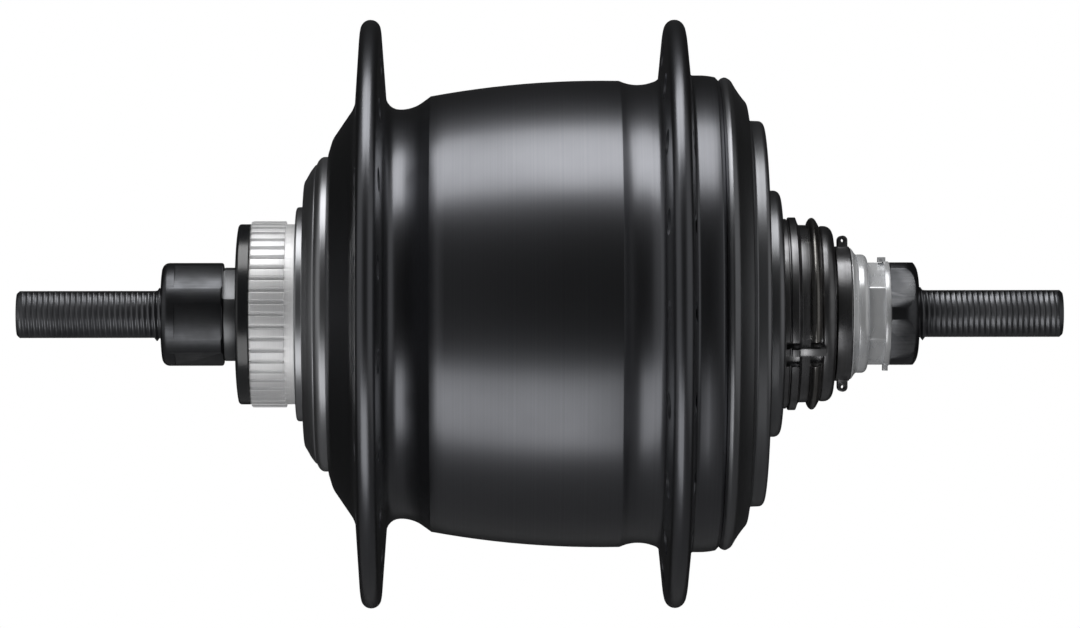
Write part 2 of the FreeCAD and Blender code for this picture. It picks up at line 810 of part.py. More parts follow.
def make_axle():
    end = "axle_length / 2"
    axle = turned("axle", [
        ("-" + end, "0"), ("-" + end, "thread_radius - axle_chamfer"),
        ("axle_chamfer - axle_length / 2", "thread_radius"),
        ("left_ball_x + cone_nose + axle_core_margin", "thread_radius"),
        ("left_ball_x + cone_nose + axle_core_margin", "axle_core_radius"),
        ("sleeve_x - axle_collar_length", "axle_core_radius"),
        ("sleeve_x - axle_collar_length", "axle_collar_radius"),
        ("sleeve_x - part_gap", "axle_collar_radius"), ("sleeve_x - part_gap", "axle_bar_radius"),
        ("cone_end_x", "axle_bar_radius"), ("cone_end_x", "thread_radius"),
        ("axle_length / 2 - axle_chamfer", "thread_radius"),
        (end, "thread_radius - axle_chamfer"), (end, "0")])
    wide, tall = "2 * thread_radius", "2 * thread_radius"
    top = [("-" + wide, "axle_flat_height"), ("-" + wide, tall), (wide, tall),
           (wide, "axle_flat_height")]
    under = [("-" + wide, "-" + tall), ("-" + wide, "-axle_flat_height"),
             (wide, "-axle_flat_height"), (wide, "-" + tall)]
    length = "(axle_length - over_lock_nuts) / 2 - axle_flat_margin"
    cut_along(axle, "left_flats", [top, under], "-" + end, length)
    cut_along(axle, "right_flats", [top, under], "right_face + axle_flat_margin", length)
    half = "(sun_pawl_width / 2 + running_gap)"
    slot = [("-" + half, "sun_slot_floor"), ("-" + half, tall), (half, tall), (half, "sun_slot_floor")]
    for name, station in SUN_PAWL_STATIONS:
        cut_along(axle, name + "_slot", [slot], "%s - part_gap" % station,
                  "sun_pawl_length + 2 * part_gap")


def make_sun_pawls():
    """Pawls in the axle's slots: two stand out into their suns, two lie under the sleeve."""
    half, floor = "sun_pawl_width / 2", "sun_slot_floor + part_gap"
    for name, station in SUN_PAWL_STATIONS:
        top = "sun_bore + sun_pawl_reach" if name in HELD_SUNS else "axle_bar_radius - sun_pawl_crown"
        body = new_body(name + "_pawl")
        add_along(body, "blade", [[
            ("-" + half, floor), ("-" + half, top, "crown", "sun_pawl_crown"), (half, top), (half, floor)
        ]], station, "sun_pawl_length")


def make_left_lock_nut():
    nut = turned("left_lock_nut", [
        ("left_face", "thread_radius"), ("left_face", "nut_radius - nut_round", "round", "nut_round"),
        ("left_face + nut_round", "nut_radius"), ("left_cone_x - nut_edge", "nut_radius"),
        ("left_cone_x", "nut_radius - nut_edge"), ("left_cone_x", "thread_radius")])
    wrench_flats(nut, "nut_across_flats", "left_face + left_nut_collar",
                 "left_nut_length", number("180 + left_nut_turn"))


def make_right_lock_nut():
    nut = turned("right_lock_nut", [
        ("right_nut_x", "thread_radius"), ("right_nut_x", "right_nut_radius - nut_edge"),
        ("right_nut_x + nut_edge", "right_nut_radius"),
        ("right_face - right_nut_round", "right_nut_radius", "round", "right_nut_round"),
        ("right_face", "right_nut_radius - right_nut_round"), ("right_face", "thread_radius")])
    wrench_flats(nut, "right_nut_across", "right_nut_x - nut_edge",
                 "right_nut_length + 2 * nut_edge", 30)


def make_left_cone():
    cone = turned("left_cone", [
        ("left_cone_x", "thread_radius"), ("left_cone_x", "cone_neck_radius - nut_edge"),
        ("left_cone_x + nut_edge", "cone_neck_radius"),
        ("left_cap_x", "cone_neck_radius"), ("left_cap_x", "left_cap_seat_radius"),
        ("left_ball_x - race - race_shoulder", "left_cap_seat_radius"),
        ("left_ball_x - race - race_shoulder", "left_pitch_radius"),
        ("left_ball_x - race", "left_pitch_radius", "hollow", "race"),
        ("left_ball_x", "left_pitch_radius - race"),
        ("left_ball_x + cone_nose", "left_pitch_radius - race"),
        ("left_ball_x + cone_nose", "thread_radius")])
    far = "2 * cone_neck_radius"
    outlines = [turned_box(number("cone_flat_turn") + half_turn, "-" + far, far,
                           "cone_across_flats / 2", far) for half_turn in (0.0, 180.0)]
    cut_along(cone, "flats", outlines, "left_cone_x - part_gap", "cone_neck_length - part_gap")


def make_left_dust_cap():
    turned("left_dust_cap", [
        ("left_cap_x", "left_cap_seat_radius"),
        ("left_cap_x", "left_cap_radius - left_cap_face", "crown", "left_cap_rise"),
        ("left_cap_x + soft_edge", "left_cap_radius - left_cap_round", "round", "left_cap_round"),
        ("left_cap_x + soft_edge + left_cap_round", "left_cap_radius"),
        ("spline_x - part_gap", "left_cap_radius"),
        ("spline_x - part_gap", "left_cap_seat_radius")])


def make_right_cone():
    cone = turned("right_cone", [
        ("driver_ball_x - race / 2", "cone_bore"),
        ("driver_ball_x - race / 2", "driver_pitch_radius - race"),
        ("driver_ball_x", "driver_pitch_radius - race", "hollow", "race"),
        ("driver_ball_x + race", "driver_pitch_radius"),
        ("driver_ball_x + race + race_shoulder", "driver_pitch_radius"),
        ("driver_ball_x + race + race_shoulder", "cone_neck_tube_radius"),
        ("cone_end_x", "cone_neck_tube_radius"), ("cone_end_x", "cone_end_radius - edge_break"),
        ("cone_end_x + edge_break", "cone_bead_radius"),
        ("stop_nut_x - cone_bead_round", "cone_bead_radius", "round", "cone_bead_round"),
        ("stop_nut_x", "cone_bead_radius - cone_bead_round"), ("stop_nut_x", "thread_radius"),
        ("cone_end_x", "thread_radius"), ("cone_end_x", "cone_bore")])
    reach = "3 * cone_neck_tube_radius"
    start, end = number("-90 - tab_window_margin"), number("-90 + tab_window_margin + shift_travel")
    cut_along(cone, "window", [fan(start, end, reach)],
              "shift_ring_x", "shift_ring_length")


def make_small_right_parts():
    turned("retaining_ring", [
        ("retaining_x", "cone_neck_tube_radius"), ("retaining_x", "retaining_ring_radius"),
        ("retaining_x + edge_break", "retaining_ring_radius"),
        ("cone_end_x - part_gap", "cone_end_radius + part_gap"),
        ("cone_end_x", "cone_end_radius"), ("cone_end_x", "cone_neck_tube_radius")])
    nut = turned("stop_nut", [
        ("stop_nut_x", "thread_radius"), ("stop_nut_x", "nut_radius"),
        ("washer_x", "nut_radius"), ("washer_x", "thread_radius")])
    wrench_flats(nut, "stop_nut_across", "stop_nut_x - part_gap",
                 "stop_nut_length + 2 * part_gap", 0)
    washer = turned("lock_washer", [
        ("washer_x", "thread_radius"), ("washer_x", "washer_radius"),
        ("right_nut_x", "washer_radius"), ("right_nut_x", "thread_radius")])
    half = "washer_tab_width / 2"
    foot, tip = "washer_radius - part_gap", "washer_radius + washer_tab_height"
    for name, turn, start in (("top", 90, "washer_x - washer_tab_reach"), ("under", 270, "washer_x")):
        add_along(washer, name + "_tab", [turned_box(turn, "-" + half, half, foot, tip)],
                  start, "right_nut_x - (%s)" % start)


def make_return_spring():
    """Flat spiral spring round the control sleeve, behind the right cone."""
    start = number("carrier_hub_end_x + spring_margin")
    width, strip, pitch = number("spring_width"), number("spring_strip"), number("spring_pitch")
    inner = number("sleeve_outer + spring_strip")
    halves = count("2 * spring_turns")

    def chain(offset):
        points = []
        for index in range(halves + 1):
            side = 1 if index % 2 == 0 else -1
            points.append(Vector(0, side * (inner + offset + pitch * index / 2), 0))
        arcs = []
        for index in range(halves):
            low, high = points[index], points[index + 1]
            centre = (low + high) * 0.5
            radius = (low - high).Length / 2
            up = 1 if index % 2 == 0 else -1
            arcs.append(Part.Arc(low, centre + Vector(0, 0, up * radius), high).toShape())
        return points, arcs

    inner_points, inner_arcs = chain(0.0)
    outer_points, outer_arcs = chain(strip)
    edges = inner_arcs + [Part.makeLine(inner_points[-1], outer_points[-1])]
    edges += list(reversed(outer_arcs)) + [Part.makeLine(outer_points[0], inner_points[0])]
    face = Part.Face(Part.Wire(Part.__sortEdges__(edges)))
    face.translate(Vector(start, 0, 0))
    feature("return_spring", face.extrude(Vector(width, 0, 0)))


# Shell and what turns with it

def make_rotor_mount():
    mount = turned("rotor_mount", [
        ("spline_x", "left_cup_outer"), ("spline_x", "spline_radius - edge_chamfer"),
        ("spline_x + edge_chamfer", "spline_radius"), ("shoulder_x", "spline_radius"),
        ("shoulder_x", "spline_shoulder_radius"), ("end_cap_x", "spline_shoulder_radius"),
        ("end_cap_x", "mount_seat_radius"), ("cavity_left_x", "mount_seat_radius"),
        ("cavity_left_x", "left_pitch_radius + cup_lip"),
        ("left_ball_x + race + race_shoulder", "left_pitch_radius + cup_lip"),
        ("left_ball_x + race + race_shoulder", "left_cup_outer")])
    step = FULL_TURN / count("spline_teeth")
    far = "spline_radius + soft_edge"
    space = cut_along(mount, "spline_space", [polygon([
        (step * SPACE_FOOT, "spline_root_radius"), (step * SPACE_MOUTH, far),
        (-step * SPACE_MOUTH, far), (-step * SPACE_FOOT, "spline_root_radius")])],
        "spline_x - part_gap", "spline_length + part_gap")
    repeat(mount, space, "spline_teeth")


def make_left_ball_cup():
    turned("left_ball_cup", [
        ("left_ball_x - race", "left_cup_bore"), ("left_ball_x - race", "left_cup_outer"),
        ("left_ball_x + race + race_shoulder", "left_cup_outer"),
        ("left_ball_x + race + race_shoulder", "left_pitch_radius"),
        ("left_ball_x + race", "left_pitch_radius", "hollow", "race"),
        ("left_ball_x", "left_cup_bore")])
    turned("left_seal", [
        ("spline_x + seal_gap", "left_cap_seat_radius + seal_gap"),
        ("spline_x + seal_gap", "left_cup_outer"),
        ("spline_x + seal_gap + seal_width", "left_cup_outer"),
        ("spline_x + seal_gap + seal_width", "left_cap_seat_radius + 2 * seal_gap")])


def make_end_cap():
    turned("left_end_cap", [
        ("end_cap_x", "mount_seat_radius"), ("end_cap_x", "end_cap_step_radius - edge_break"),
        ("end_cap_x + edge_break", "end_cap_step_radius"),
        ("end_cap_x + end_cap_step_length", "end_cap_step_radius + part_gap"),
        ("end_cap_x + end_cap_step_length", "end_cap_cone_radius - soft_edge", "round", "soft_edge"),
        ("end_cap_x + end_cap_step_length + soft_edge", "end_cap_cone_radius"),
        ("shell_left_x - end_cap_rim - edge_chamfer", "end_cap_radius - edge_break",
         "crown", "part_gap"),
        ("shell_left_x - end_cap_rim", "end_cap_radius"), ("shell_left_x", "end_cap_radius"),
        ("shell_left_x", "end_cap_radius - end_cap_wall"),
        ("shell_left_x - end_cap_rim", "end_cap_radius - end_cap_wall"),
        ("end_cap_x + end_cap_step_length + end_cap_skin", "end_cap_cone_radius - end_cap_skin / 2"),
        ("end_cap_x + end_cap_step_length + end_cap_skin", "mount_seat_radius")])


def make_hub_shell():
    left, right = "left_flange_x", "right_flange_x"
    rim, root = "flange_rim / 2", "flange_root / 2"
    top = "flange_radius - flange_rim / 2"
    shell = turned("hub_shell", [
        ("shell_left_x", "mount_seat_radius"), ("shell_left_x", "shell_left_radius - edge_chamfer"),
        ("shell_left_x + edge_break", "shell_left_radius"),
        (left + " - root_step - 0.8 * cone_fillet", "shell_cone_radius", "hollow", "cone_fillet"),
        (left + " - root_step", "shell_cone_radius + cone_fillet"),
        (left + " - " + rim, top, "round", rim), (left, "flange_radius", "round", rim),
        (left + " + " + rim, top),
        (left + " + root_step", "left_groove_radius + 0.95 * groove_fillet", "hollow", "groove_fillet"),
        (left + " + root_step + 0.95 * groove_fillet", "left_groove_radius", "dish", "groove_dish"),
        (left + " + barrel_left_margin", "barrel_left_radius - barrel_edge"),
        (left + " + barrel_left_margin + part_gap", "barrel_left_radius", "crown", "barrel_crown"),
        (right + " - barrel_right_margin", "barrel_right_radius"),
        (right + " - barrel_right_margin + barrel_step", "right_groove_radius + 2 * part_gap",
         "dish", "part_gap"),
        (right + " - barrel_right_margin + 2 * barrel_step", "right_groove_radius"),
        (right + " - root_step - 1.4 * groove_fillet", "right_groove_radius"),
        (right + " - root_step - 0.65 * groove_fillet",
         "right_groove_radius + 0.3 * groove_fillet", "hollow", "groove_fillet"),
        (right + " - root_step", "right_groove_radius + 1.1 * groove_fillet"),
        (right + " - " + rim, top, "round", rim), (right, "flange_radius", "round", rim),
        (right + " + " + rim, top),
        (right + " + root_step", "shell_end_radius + end_fillet", "hollow", "end_fillet"),
        (right + " + root_step + end_fillet", "shell_end_radius"),
        ("shell_right_x - edge_chamfer", "shell_end_radius"),
        ("shell_right_x", "shell_end_radius - edge_chamfer"),
        ("shell_right_x", "shell_cup_radius"), ("cup_x", "shell_cup_radius"),
        ("cup_x", "cavity_radius"), ("left_web_x + web_thickness - edge_break", "cavity_radius"),
        ("left_web_x - soft_edge", "cavity_radius - 2.2"), ("left_web_x - soft_edge", "race_radius"),
        ("cavity_left_x", "race_radius"), ("cavity_left_x", "mount_seat_radius")])
    DOC.recompute()
    offset = 180.0 / count("spoke_count")
    for name, station, angle in (("left", left, 0.0), ("right", right, offset)):
        hole = cut_round(shell, name + "_spoke_hole", PLANET_ANGLE + angle, "spoke_circle / 2",
                         "spoke_hole / 2", station + " - flange_root", "2 * flange_root")
        repeat(shell, hole, "spoke_count")


def make_right_cup_and_cover():
    turned("right_ball_cup", [
        ("cup_x", "shell_pitch_radius"),
        ("cup_x", "shell_cup_radius"), ("shell_right_x", "shell_cup_radius"),
        ("shell_right_x", "shell_cup_bore + cup_wall + cup_step"),
        ("shell_ball_x + race + race_shoulder", "shell_cup_bore + cup_wall + edge_chamfer"),
        ("collar_end_x", "shell_cup_bore + cup_wall + edge_chamfer"), ("collar_end_x", "shell_cup_bore"),
        ("shell_ball_x", "shell_cup_bore", "hollow", "race"),
        ("shell_ball_x - race", "shell_pitch_radius")])
    turned("right_seal", [
        ("collar_x + 2 * seal_gap", "shell_pitch_radius + seal_gap"),
        ("collar_x + 2 * seal_gap", "shell_cup_bore"),
        ("collar_x + 2 * seal_gap + seal_width", "shell_cup_bore"),
        ("collar_x + 2 * seal_gap + seal_width", "shell_pitch_radius + seal_gap")])
    turned("right_cover", [
        ("shell_right_x", "cover_rim_radius - cover_rim_depth"),
        ("shell_right_x", "cover_rim_radius - edge_break"),
        ("shell_right_x + soft_edge", "cover_rim_radius - edge_break"),
        ("shell_right_x + soft_edge + edge_chamfer", "cover_rim_radius"),
        ("cover_cone_x", "cover_rim_radius - soft_edge", "dish", "cover_dish"),
        ("cover_cone_x + cover_cone_length", "cover_cone_radius"),
        ("cover_step_x", "cover_step_radius + part_gap"),
        ("cover_end_x - soft_edge", "cover_step_radius - part_gap", "round", "soft_edge"),
        ("cover_end_x", "cover_step_radius - part_gap - soft_edge"),
        ("cover_end_x", "cover_hole_radius"), ("cover_end_x - cover_wall", "cover_hole_radius"),
        ("cover_end_x - cover_wall", "cover_step_radius - cover_wall"),
        ("cover_step_x - cover_wall", "cover_step_radius - cover_wall"),
        ("cover_cone_x + soft_edge", "cover_rim_radius - cover_rim_depth - soft_edge")])


def make_ring_gear_high():
    """Second ring gear: internal teeth, ratchet for the carrier pawls and roller clutch cam."""
    module = number("high_module")
    pitch_radius = count("high_ring_teeth") * module / 2
    tip = "%.6f * centre_distance" % ((pitch_radius - ADDENDUM * module) / number("centre_distance"))
    root = "%.6f * centre_distance" % ((pitch_radius + DEDENDUM * module) / number("centre_distance"))
    outer = root + " + ring_wall"
    blank = turned("ring_gear_high_blank", [
        ("cavity_left_x + gear_gap", "cam_bore_radius"), ("cavity_left_x + gear_gap", "cam_radius"),
        ("left_web_x", "cam_radius"), ("left_web_x", outer + " - web_thickness"),
        ("left_web_x + web_thickness", outer), ("gears_x + gear_width", outer),
        ("gears_x + gear_width", tip), ("gears_x - gear_gap / 2", tip),
        ("gears_x - gear_gap / 2", "carrier_ratchet_radius"),
        ("left_web_x + web_thickness", "carrier_ratchet_radius"),
        ("left_web_x + web_thickness", "cam_bore_radius")])
    low = number("carrier_ratchet_radius")
    cutters = [
        ring_cutter(count("high_ring_teeth"), module, PLANET_ANGLE,
                    number("gears_x - gear_gap / 2"), number("gear_width + gear_gap")),
        star_cutter(count("carrier_ratchet_teeth"), low - CUT_MARGIN, low + number("ratchet_depth"),
                    number("left_web_x + web_thickness"), number("plate_thickness + gear_gap / 2"),
                    CARRIER_LEAN)]
    flat = number("race_radius - 2 * roller_radius") - 2 * ROLLER_GAP
    width = number("2.6 * roller_radius")
    high = number("cam_radius") - flat + 1
    for index in range(count("roller_count")):
        box = Part.makeBox(number("left_web_x - cavity_left_x - gear_gap"), width, high,
                           Vector(number("cavity_left_x + gear_gap"), -width / 2, flat))
        box.rotate(Vector(0, 0, 0), Vector(1, 0, 0), FULL_TURN * index / count("roller_count"))
        cutters.append(box)
    cut_node("ring_gear_high", blank, cutters)


def make_roller_clutch():
    rods("clutch_rollers", "roller_count", 90.0, "race_radius - roller_radius - %g" % ROLLER_GAP,
         "roller_radius", "cage_x + cage_rim + part_gap", "roller_length - 2 * part_gap")
    cage = turned("roller_cage", [
        ("cage_x", "cam_radius + cage_gap"), ("cage_x", "race_radius - cage_gap"),
        ("left_web_x - part_gap", "race_radius - cage_gap"),
        ("left_web_x - part_gap", "cam_radius + cage_gap")])
    half = math.degrees(number("(roller_radius + side_gap) / (race_radius - roller_radius)"))
    window = cut_along(cage, "window", [polygon([
        (90 + half, "cam_radius - roller_radius"), (90 + half, "race_radius + roller_radius"),
        (90 - half, "race_radius + roller_radius"), (90 - half, "cam_radius - roller_radius")])],
        "cage_x + cage_rim", "roller_length")
    repeat(cage, window, "roller_count")


# Driver and what turns with it

def make_driver():
    driver = turned("driver", [
        ("driver_left_x", "clutch_bore_radius"), ("driver_left_x", "driver_hub_radius"),
        ("drive_ratchet_end_x", "driver_hub_radius"),
        ("drive_ratchet_end_x + driver_runout", "shell_pitch_radius - race"),
        ("shell_ball_x", "shell_pitch_radius - race", "hollow", "race"),
        ("collar_x", "shell_pitch_radius"), ("collar_end_x", "shell_pitch_radius"),
        ("collar_end_x", "driver_ring_radius - edge_chamfer"),
        ("driver_dust_x", "driver_ring_radius - edge_chamfer"),
        ("driver_dust_x + driver_cap_length", "driver_ring_radius - edge_chamfer"),
        ("driver_dust_x + driver_cap_length + edge_chamfer", "driver_ring_radius"),
        ("seat_x - edge_break", "driver_ring_radius"), ("seat_x", "sprocket_seat_radius"),
        ("snap_x", "sprocket_seat_radius"), ("snap_x", "snap_groove_radius"),
        ("tail_x", "snap_groove_radius"), ("tail_x", "driver_tail_radius - edge_break"),
        ("tail_x + edge_break", "driver_tail_radius"),
        ("driver_end_x - driver_tail_round", "driver_tail_radius", "round", "driver_tail_round"),
        ("driver_end_x", "driver_tail_radius - driver_tail_round"),
        ("driver_end_x", "driver_cup_bore"),
        ("driver_ball_x", "driver_cup_bore", "hollow", "race"),
        ("driver_ball_x - race", "driver_pitch_radius"),
        ("carrier_hub_end_x + hub_end_gap", "driver_pitch_radius"),
        ("carrier_hub_end_x + hub_end_gap", "carrier_bore_radius"),
        ("drive_ratchet_end_x + gear_gap", "carrier_bore_radius"),
        ("drive_ratchet_end_x + gear_gap", "clutch_bore_radius")])
    angle = number("180 - lug_angle")
    floor, far = "sprocket_seat_radius - lug_notch_depth", "driver_ring_radius + 1"
    rib, edge = "lug_rib_width / 2", "lug_notch_width / 2"
    notch = cut_along(driver, "lug_notch", [
        turned_box(angle, rib, edge, floor, far), turned_box(angle, "-" + edge, "-" + rib, floor, far)],
        "seat_x - lug_notch_length / 2", "lug_notch_length")
    repeat(driver, notch, "3")
    add_along(driver, "lug_rib", [turned_box(
        angle, "-" + rib, rib, "snap_groove_radius - 1", "driver_tail_radius + part_gap")],
        "snap_x", "snap_ring_thickness + part_gap")
    floor = "driver_hub_radius - driver_pocket_depth"
    far = "driver_hub_radius + driver_pocket_reach"
    pocket = cut_along(driver, "pawl_pocket", [polygon([
        (102.5, floor), (102.5, far), (79.0, far), (79.0, floor + " - part_gap")])],
        "right_web_end_x + driver_pawl_offset", "pawl_width + 2 * part_gap")
    repeat(driver, pocket, "3")


def make_drive_pawls():
    body = new_body("drive_pawls")
    pawl = add_along(body, "pawl", [polygon([
        (80.0, "driver_hub_radius - 2.1"), (95, "driver_hub_radius - 1.9"),
        (100.0, "driver_hub_radius - 0.2"), (99.2, "driver_hub_radius + 1"),
        (94.0, "driver_hub_radius + 0.5"), (81.0, "driver_hub_radius - 0.3")])],
        "right_web_end_x + driver_pawl_offset + part_gap", "pawl_width")
    DOC.recompute()
    repeat(body, pawl, "3")


def make_ring_gear_low():
    """First ring gear: internal teeth, web and the ratchet that the drive pawls push."""
    module = number("low_module")
    pitch_radius = count("low_ring_teeth") * module / 2
    tip = "%.6f * centre_distance" % ((pitch_radius - ADDENDUM * module) / number("centre_distance"))
    root = "%.6f * centre_distance" % ((pitch_radius + DEDENDUM * module) / number("centre_distance"))
    outer = root + " + ring_wall + 0.4"
    blank = turned("ring_gear_low_blank", [
        ("low_ring_x", tip), ("low_ring_x", outer), ("right_web_end_x - 0.6", outer),
        ("right_web_end_x", outer + " - 0.6"), ("right_web_end_x", "ratchet_radius + 3.9"),
        ("drive_ratchet_end_x - 0.2", "ratchet_radius + 3.9"),
        ("drive_ratchet_end_x - 0.2", "ratchet_radius"), ("right_web_end_x", "ratchet_radius"),
        ("right_web_end_x", "driver_hub_radius + running_gap"),
        ("right_web_x", "driver_hub_radius + running_gap"), ("right_web_x", root + " + 0.4"),
        ("right_plate_x - gear_gap / 2", root + " + 0.4"), ("right_plate_x - gear_gap / 2", tip)])
    low = number("ratchet_radius")
    cutters = [
        ring_cutter(count("low_ring_teeth"), module, PLANET_ANGLE,
                    number("low_ring_x"), number("gear_width + gear_gap")),
        star_cutter(count("drive_ratchet_teeth"), low - CUT_MARGIN, low + number("ratchet_depth"),
                    number("right_web_end_x"), number("pawl_width + 2"), 2.0)]
    cut_node("ring_gear_low", blank, cutters)


def make_driver_trim():
    ring = turned("snap_ring", [
        ("snap_x + part_gap / 2", "snap_groove_radius"),
        ("snap_x + part_gap / 2", "sprocket_seat_radius + edge_break"),
        ("snap_x + edge_chamfer", "driver_ring_radius - soft_edge"),
        ("snap_x + snap_ring_bevel", "driver_ring_radius - part_gap", "crown", "part_gap"),
        ("snap_x + snap_ring_land", "driver_ring_radius - part_gap"),
        ("tail_x - part_gap / 2", "driver_tail_radius + 2 * part_gap"),
        ("tail_x - part_gap / 2", "snap_groove_radius")])
    middle = number("180 - lug_angle")
    half = math.degrees(number("lug_notch_width / 2 / sprocket_seat_radius"))
    near, far = "snap_groove_radius - snap_ring_thickness", "driver_ring_radius + snap_ring_thickness"
    cut_along(ring, "gap", [polygon([
        (middle + half, near), (middle + half, far), (middle - half, far), (middle - half, near)])],
        "snap_x", "snap_ring_thickness + part_gap")
    seat, end = "driver_ring_radius - edge_chamfer", "driver_dust_x + driver_cap_length"
    turned("driver_dust_cap", [
        ("driver_dust_x", seat), ("driver_dust_x", "driver_cap_radius"),
        (end + " - driver_cap_round", "driver_cap_radius", "round", "driver_cap_round"),
        (end, "driver_cap_radius - driver_cap_round"), (end, seat)])
    near, far = "driver_end_x - driver_seal_depth", "driver_end_x - driver_seal_inset"
    lip = "cone_neck_tube_radius + seal_gap"
    turned("driver_seal", [
        (near, lip), (near, "driver_cup_bore"), (far, "driver_cup_bore"), (far, lip)])


def make_drive_clutch():
    clutch = turned("drive_clutch", [
        ("driver_left_x + 0.8", "carrier_bore_radius + 0.4"),
        ("driver_left_x + 0.8", "clutch_bore_radius"), ("driver_left_x + 4.4", "clutch_bore_radius"),
        ("driver_left_x + 4.4", "carrier_bore_radius + 0.4")])
    slot = cut_along(clutch, "dog_space", [polygon([
        (15.0, "carrier_bore_radius - 1"), (12.0, "clutch_bore_radius + 1"),
        (-12.0, "clutch_bore_radius + 1"), (-15.0, "carrier_bore_radius - 1")])],
        "driver_left_x + 0.7", "1.6")
    repeat(clutch, slot, "6")
    turned("clutch_spring", [
        ("driver_left_x + 4.4", "carrier_bore_radius + 0.8"),
        ("driver_left_x + 5.4", "clutch_bore_radius - 0.4"),
        ("drive_ratchet_end_x + 0.4", "clutch_bore_radius - 0.4"),
        ("drive_ratchet_end_x + 0.2", "clutch_bore_radius - 0.8"),
        ("driver_left_x + 5.6", "clutch_bore_radius - 0.8"),
        ("driver_left_x + 4.7", "carrier_bore_radius + 0.5")])


# Planet carrier

def make_carrier():
    sleeve = "sleeve_outer + 0.7"
    inner, outer = "pillar_inner_radius", "pillar_outer_radius"
    carrier = turned("planet_carrier", [
        ("left_plate_x", "axle_collar_radius + running_gap"), ("left_plate_x", "carrier_left_radius"),
        ("gears_x - gear_gap", "carrier_left_radius"), ("gears_x - gear_gap", outer),
        ("middle_plate_x", outer), ("middle_plate_x", "carrier_middle_radius"),
        ("middle_plate_x + plate_thickness", "carrier_middle_radius"),
        ("middle_plate_x + plate_thickness", outer), ("right_plate_x", outer),
        ("right_plate_x", "carrier_right_radius"), ("right_plate_end_x", "carrier_right_radius"),
        ("right_plate_end_x", "carrier_bore_radius - running_gap"),
        ("carrier_hub_end_x", "carrier_bore_radius - running_gap"), ("carrier_hub_end_x", sleeve),
        ("right_plate_x", sleeve), ("right_plate_x", inner),
        ("middle_plate_x + plate_thickness", inner), ("middle_plate_x + plate_thickness", sleeve),
        ("middle_plate_x", sleeve), ("middle_plate_x", inner), ("gears_x - gear_gap", inner),
        ("gears_x - gear_gap", "axle_collar_radius + running_gap")])
    half = number("planet_window_angle / 2")
    opening = [("0", "0")] + polygon([(PLANET_ANGLE + half, "2 * carrier_middle_radius"),
                                      (PLANET_ANGLE - half, "2 * carrier_middle_radius")])
    for name, start, length in (
            ("high_window", "gears_x - gear_gap", "middle_plate_x - gears_x + gear_gap"),
            ("low_window", "middle_plate_x + plate_thickness",
             "right_plate_x - middle_plate_x - plate_thickness")):
        window = cut_along(carrier, name, [opening], start, length)
        repeat(carrier, window, "3")
    pin_hole = cut_round(carrier, "pin_hole", PLANET_ANGLE, "centre_distance", "pin_radius",
                         "left_plate_x - 0.1", "right_plate_end_x - left_plate_x + 0.2")
    repeat(carrier, pin_hole, "3")
    pocket = cut_along(carrier, "pawl_pocket", [polygon([
        (155.0, "carrier_left_radius - 2.6"), (155.0, "carrier_left_radius + 2"),
        (143.0, "carrier_left_radius + 2"), (143.0, "carrier_left_radius - 2.6")])],
        "left_plate_x - 0.1", "plate_thickness - 0.7")
    repeat(carrier, pocket, "3")


def make_carrier_pawls():
    body = new_body("carrier_pawls")
    pawl = add_along(body, "pawl", [polygon([
        (154.6, "carrier_left_radius - 2.4"), (154.6, "carrier_left_radius - 0.1"),
        (149.0, "carrier_left_radius - 0.1"), (143.4, "carrier_left_radius - 1"),
        (143.4, "carrier_left_radius - 2.2")])],
        "left_plate_x + 0.1", "plate_thickness - 1")
    DOC.recompute()
    repeat(body, pawl, "3")


# Shifting

def make_shift_parts():
    bore = "cone_neck_tube_radius + running_gap"
    start = "shift_ring_x"
    ring = turned("shift_ring", [
        (start, bore), (start, "shift_ring_radius - 2 * part_gap"),
        (start + " + 2 * part_gap", "shift_ring_radius"),
        (start + " + shift_ring_length - 2 * part_gap", "shift_ring_radius"),
        (start + " + shift_ring_length", "shift_ring_radius - 2 * part_gap"),
        (start + " + shift_ring_length", bore)])
    near, far = start + " + shift_lug_margin", start + " + shift_lug_margin + shift_lug_length"
    foot, head = "shift_ring_radius - 0.6", "shift_lug_radius - shift_lug_length / 2"
    bend = "shift_lug_length / 2 + 0.0001"
    add_across(ring, "top_lug", [(near, foot), (near, head, "round", bend), (far, head), (far, foot)],
               "shift_lug_width")
    foot, head = "-(%s)" % foot, "-(%s)" % head
    add_across(ring, "under_lug", [(far, foot), (far, head, "round", bend), (near, head), (near, foot)],
               "shift_lug_width")
    tab, outer = "shift_tab_width / 2", "-cone_neck_tube_radius - 2 * seal_gap"
    inner = "-sleeve_outer - %g" % CUT_MARGIN
    add_along(ring, "tab", [[("-" + tab, outer), ("-" + tab, inner), (tab, inner), (tab, outer)]],
              start + " + side_gap", "shift_ring_length - 2 * side_gap")
    sleeve = turned("control_sleeve", [
        ("sleeve_x", "sleeve_radius"), ("sleeve_x", "sleeve_outer"),
        ("sleeve_end_x", "sleeve_outer"), ("sleeve_end_x", "sleeve_radius")])
    start = number("90 - pawl_window_margin - shift_travel")
    end = number("90 + pawl_window_margin")
    for name, station in SUN_PAWL_STATIONS:
        if name in HELD_SUNS:
            cut_along(sleeve, name + "_window", [fan(start, end, "3 * sleeve_outer")],
                      station + " - side_gap", "sun_pawl_length + 2 * side_gap")


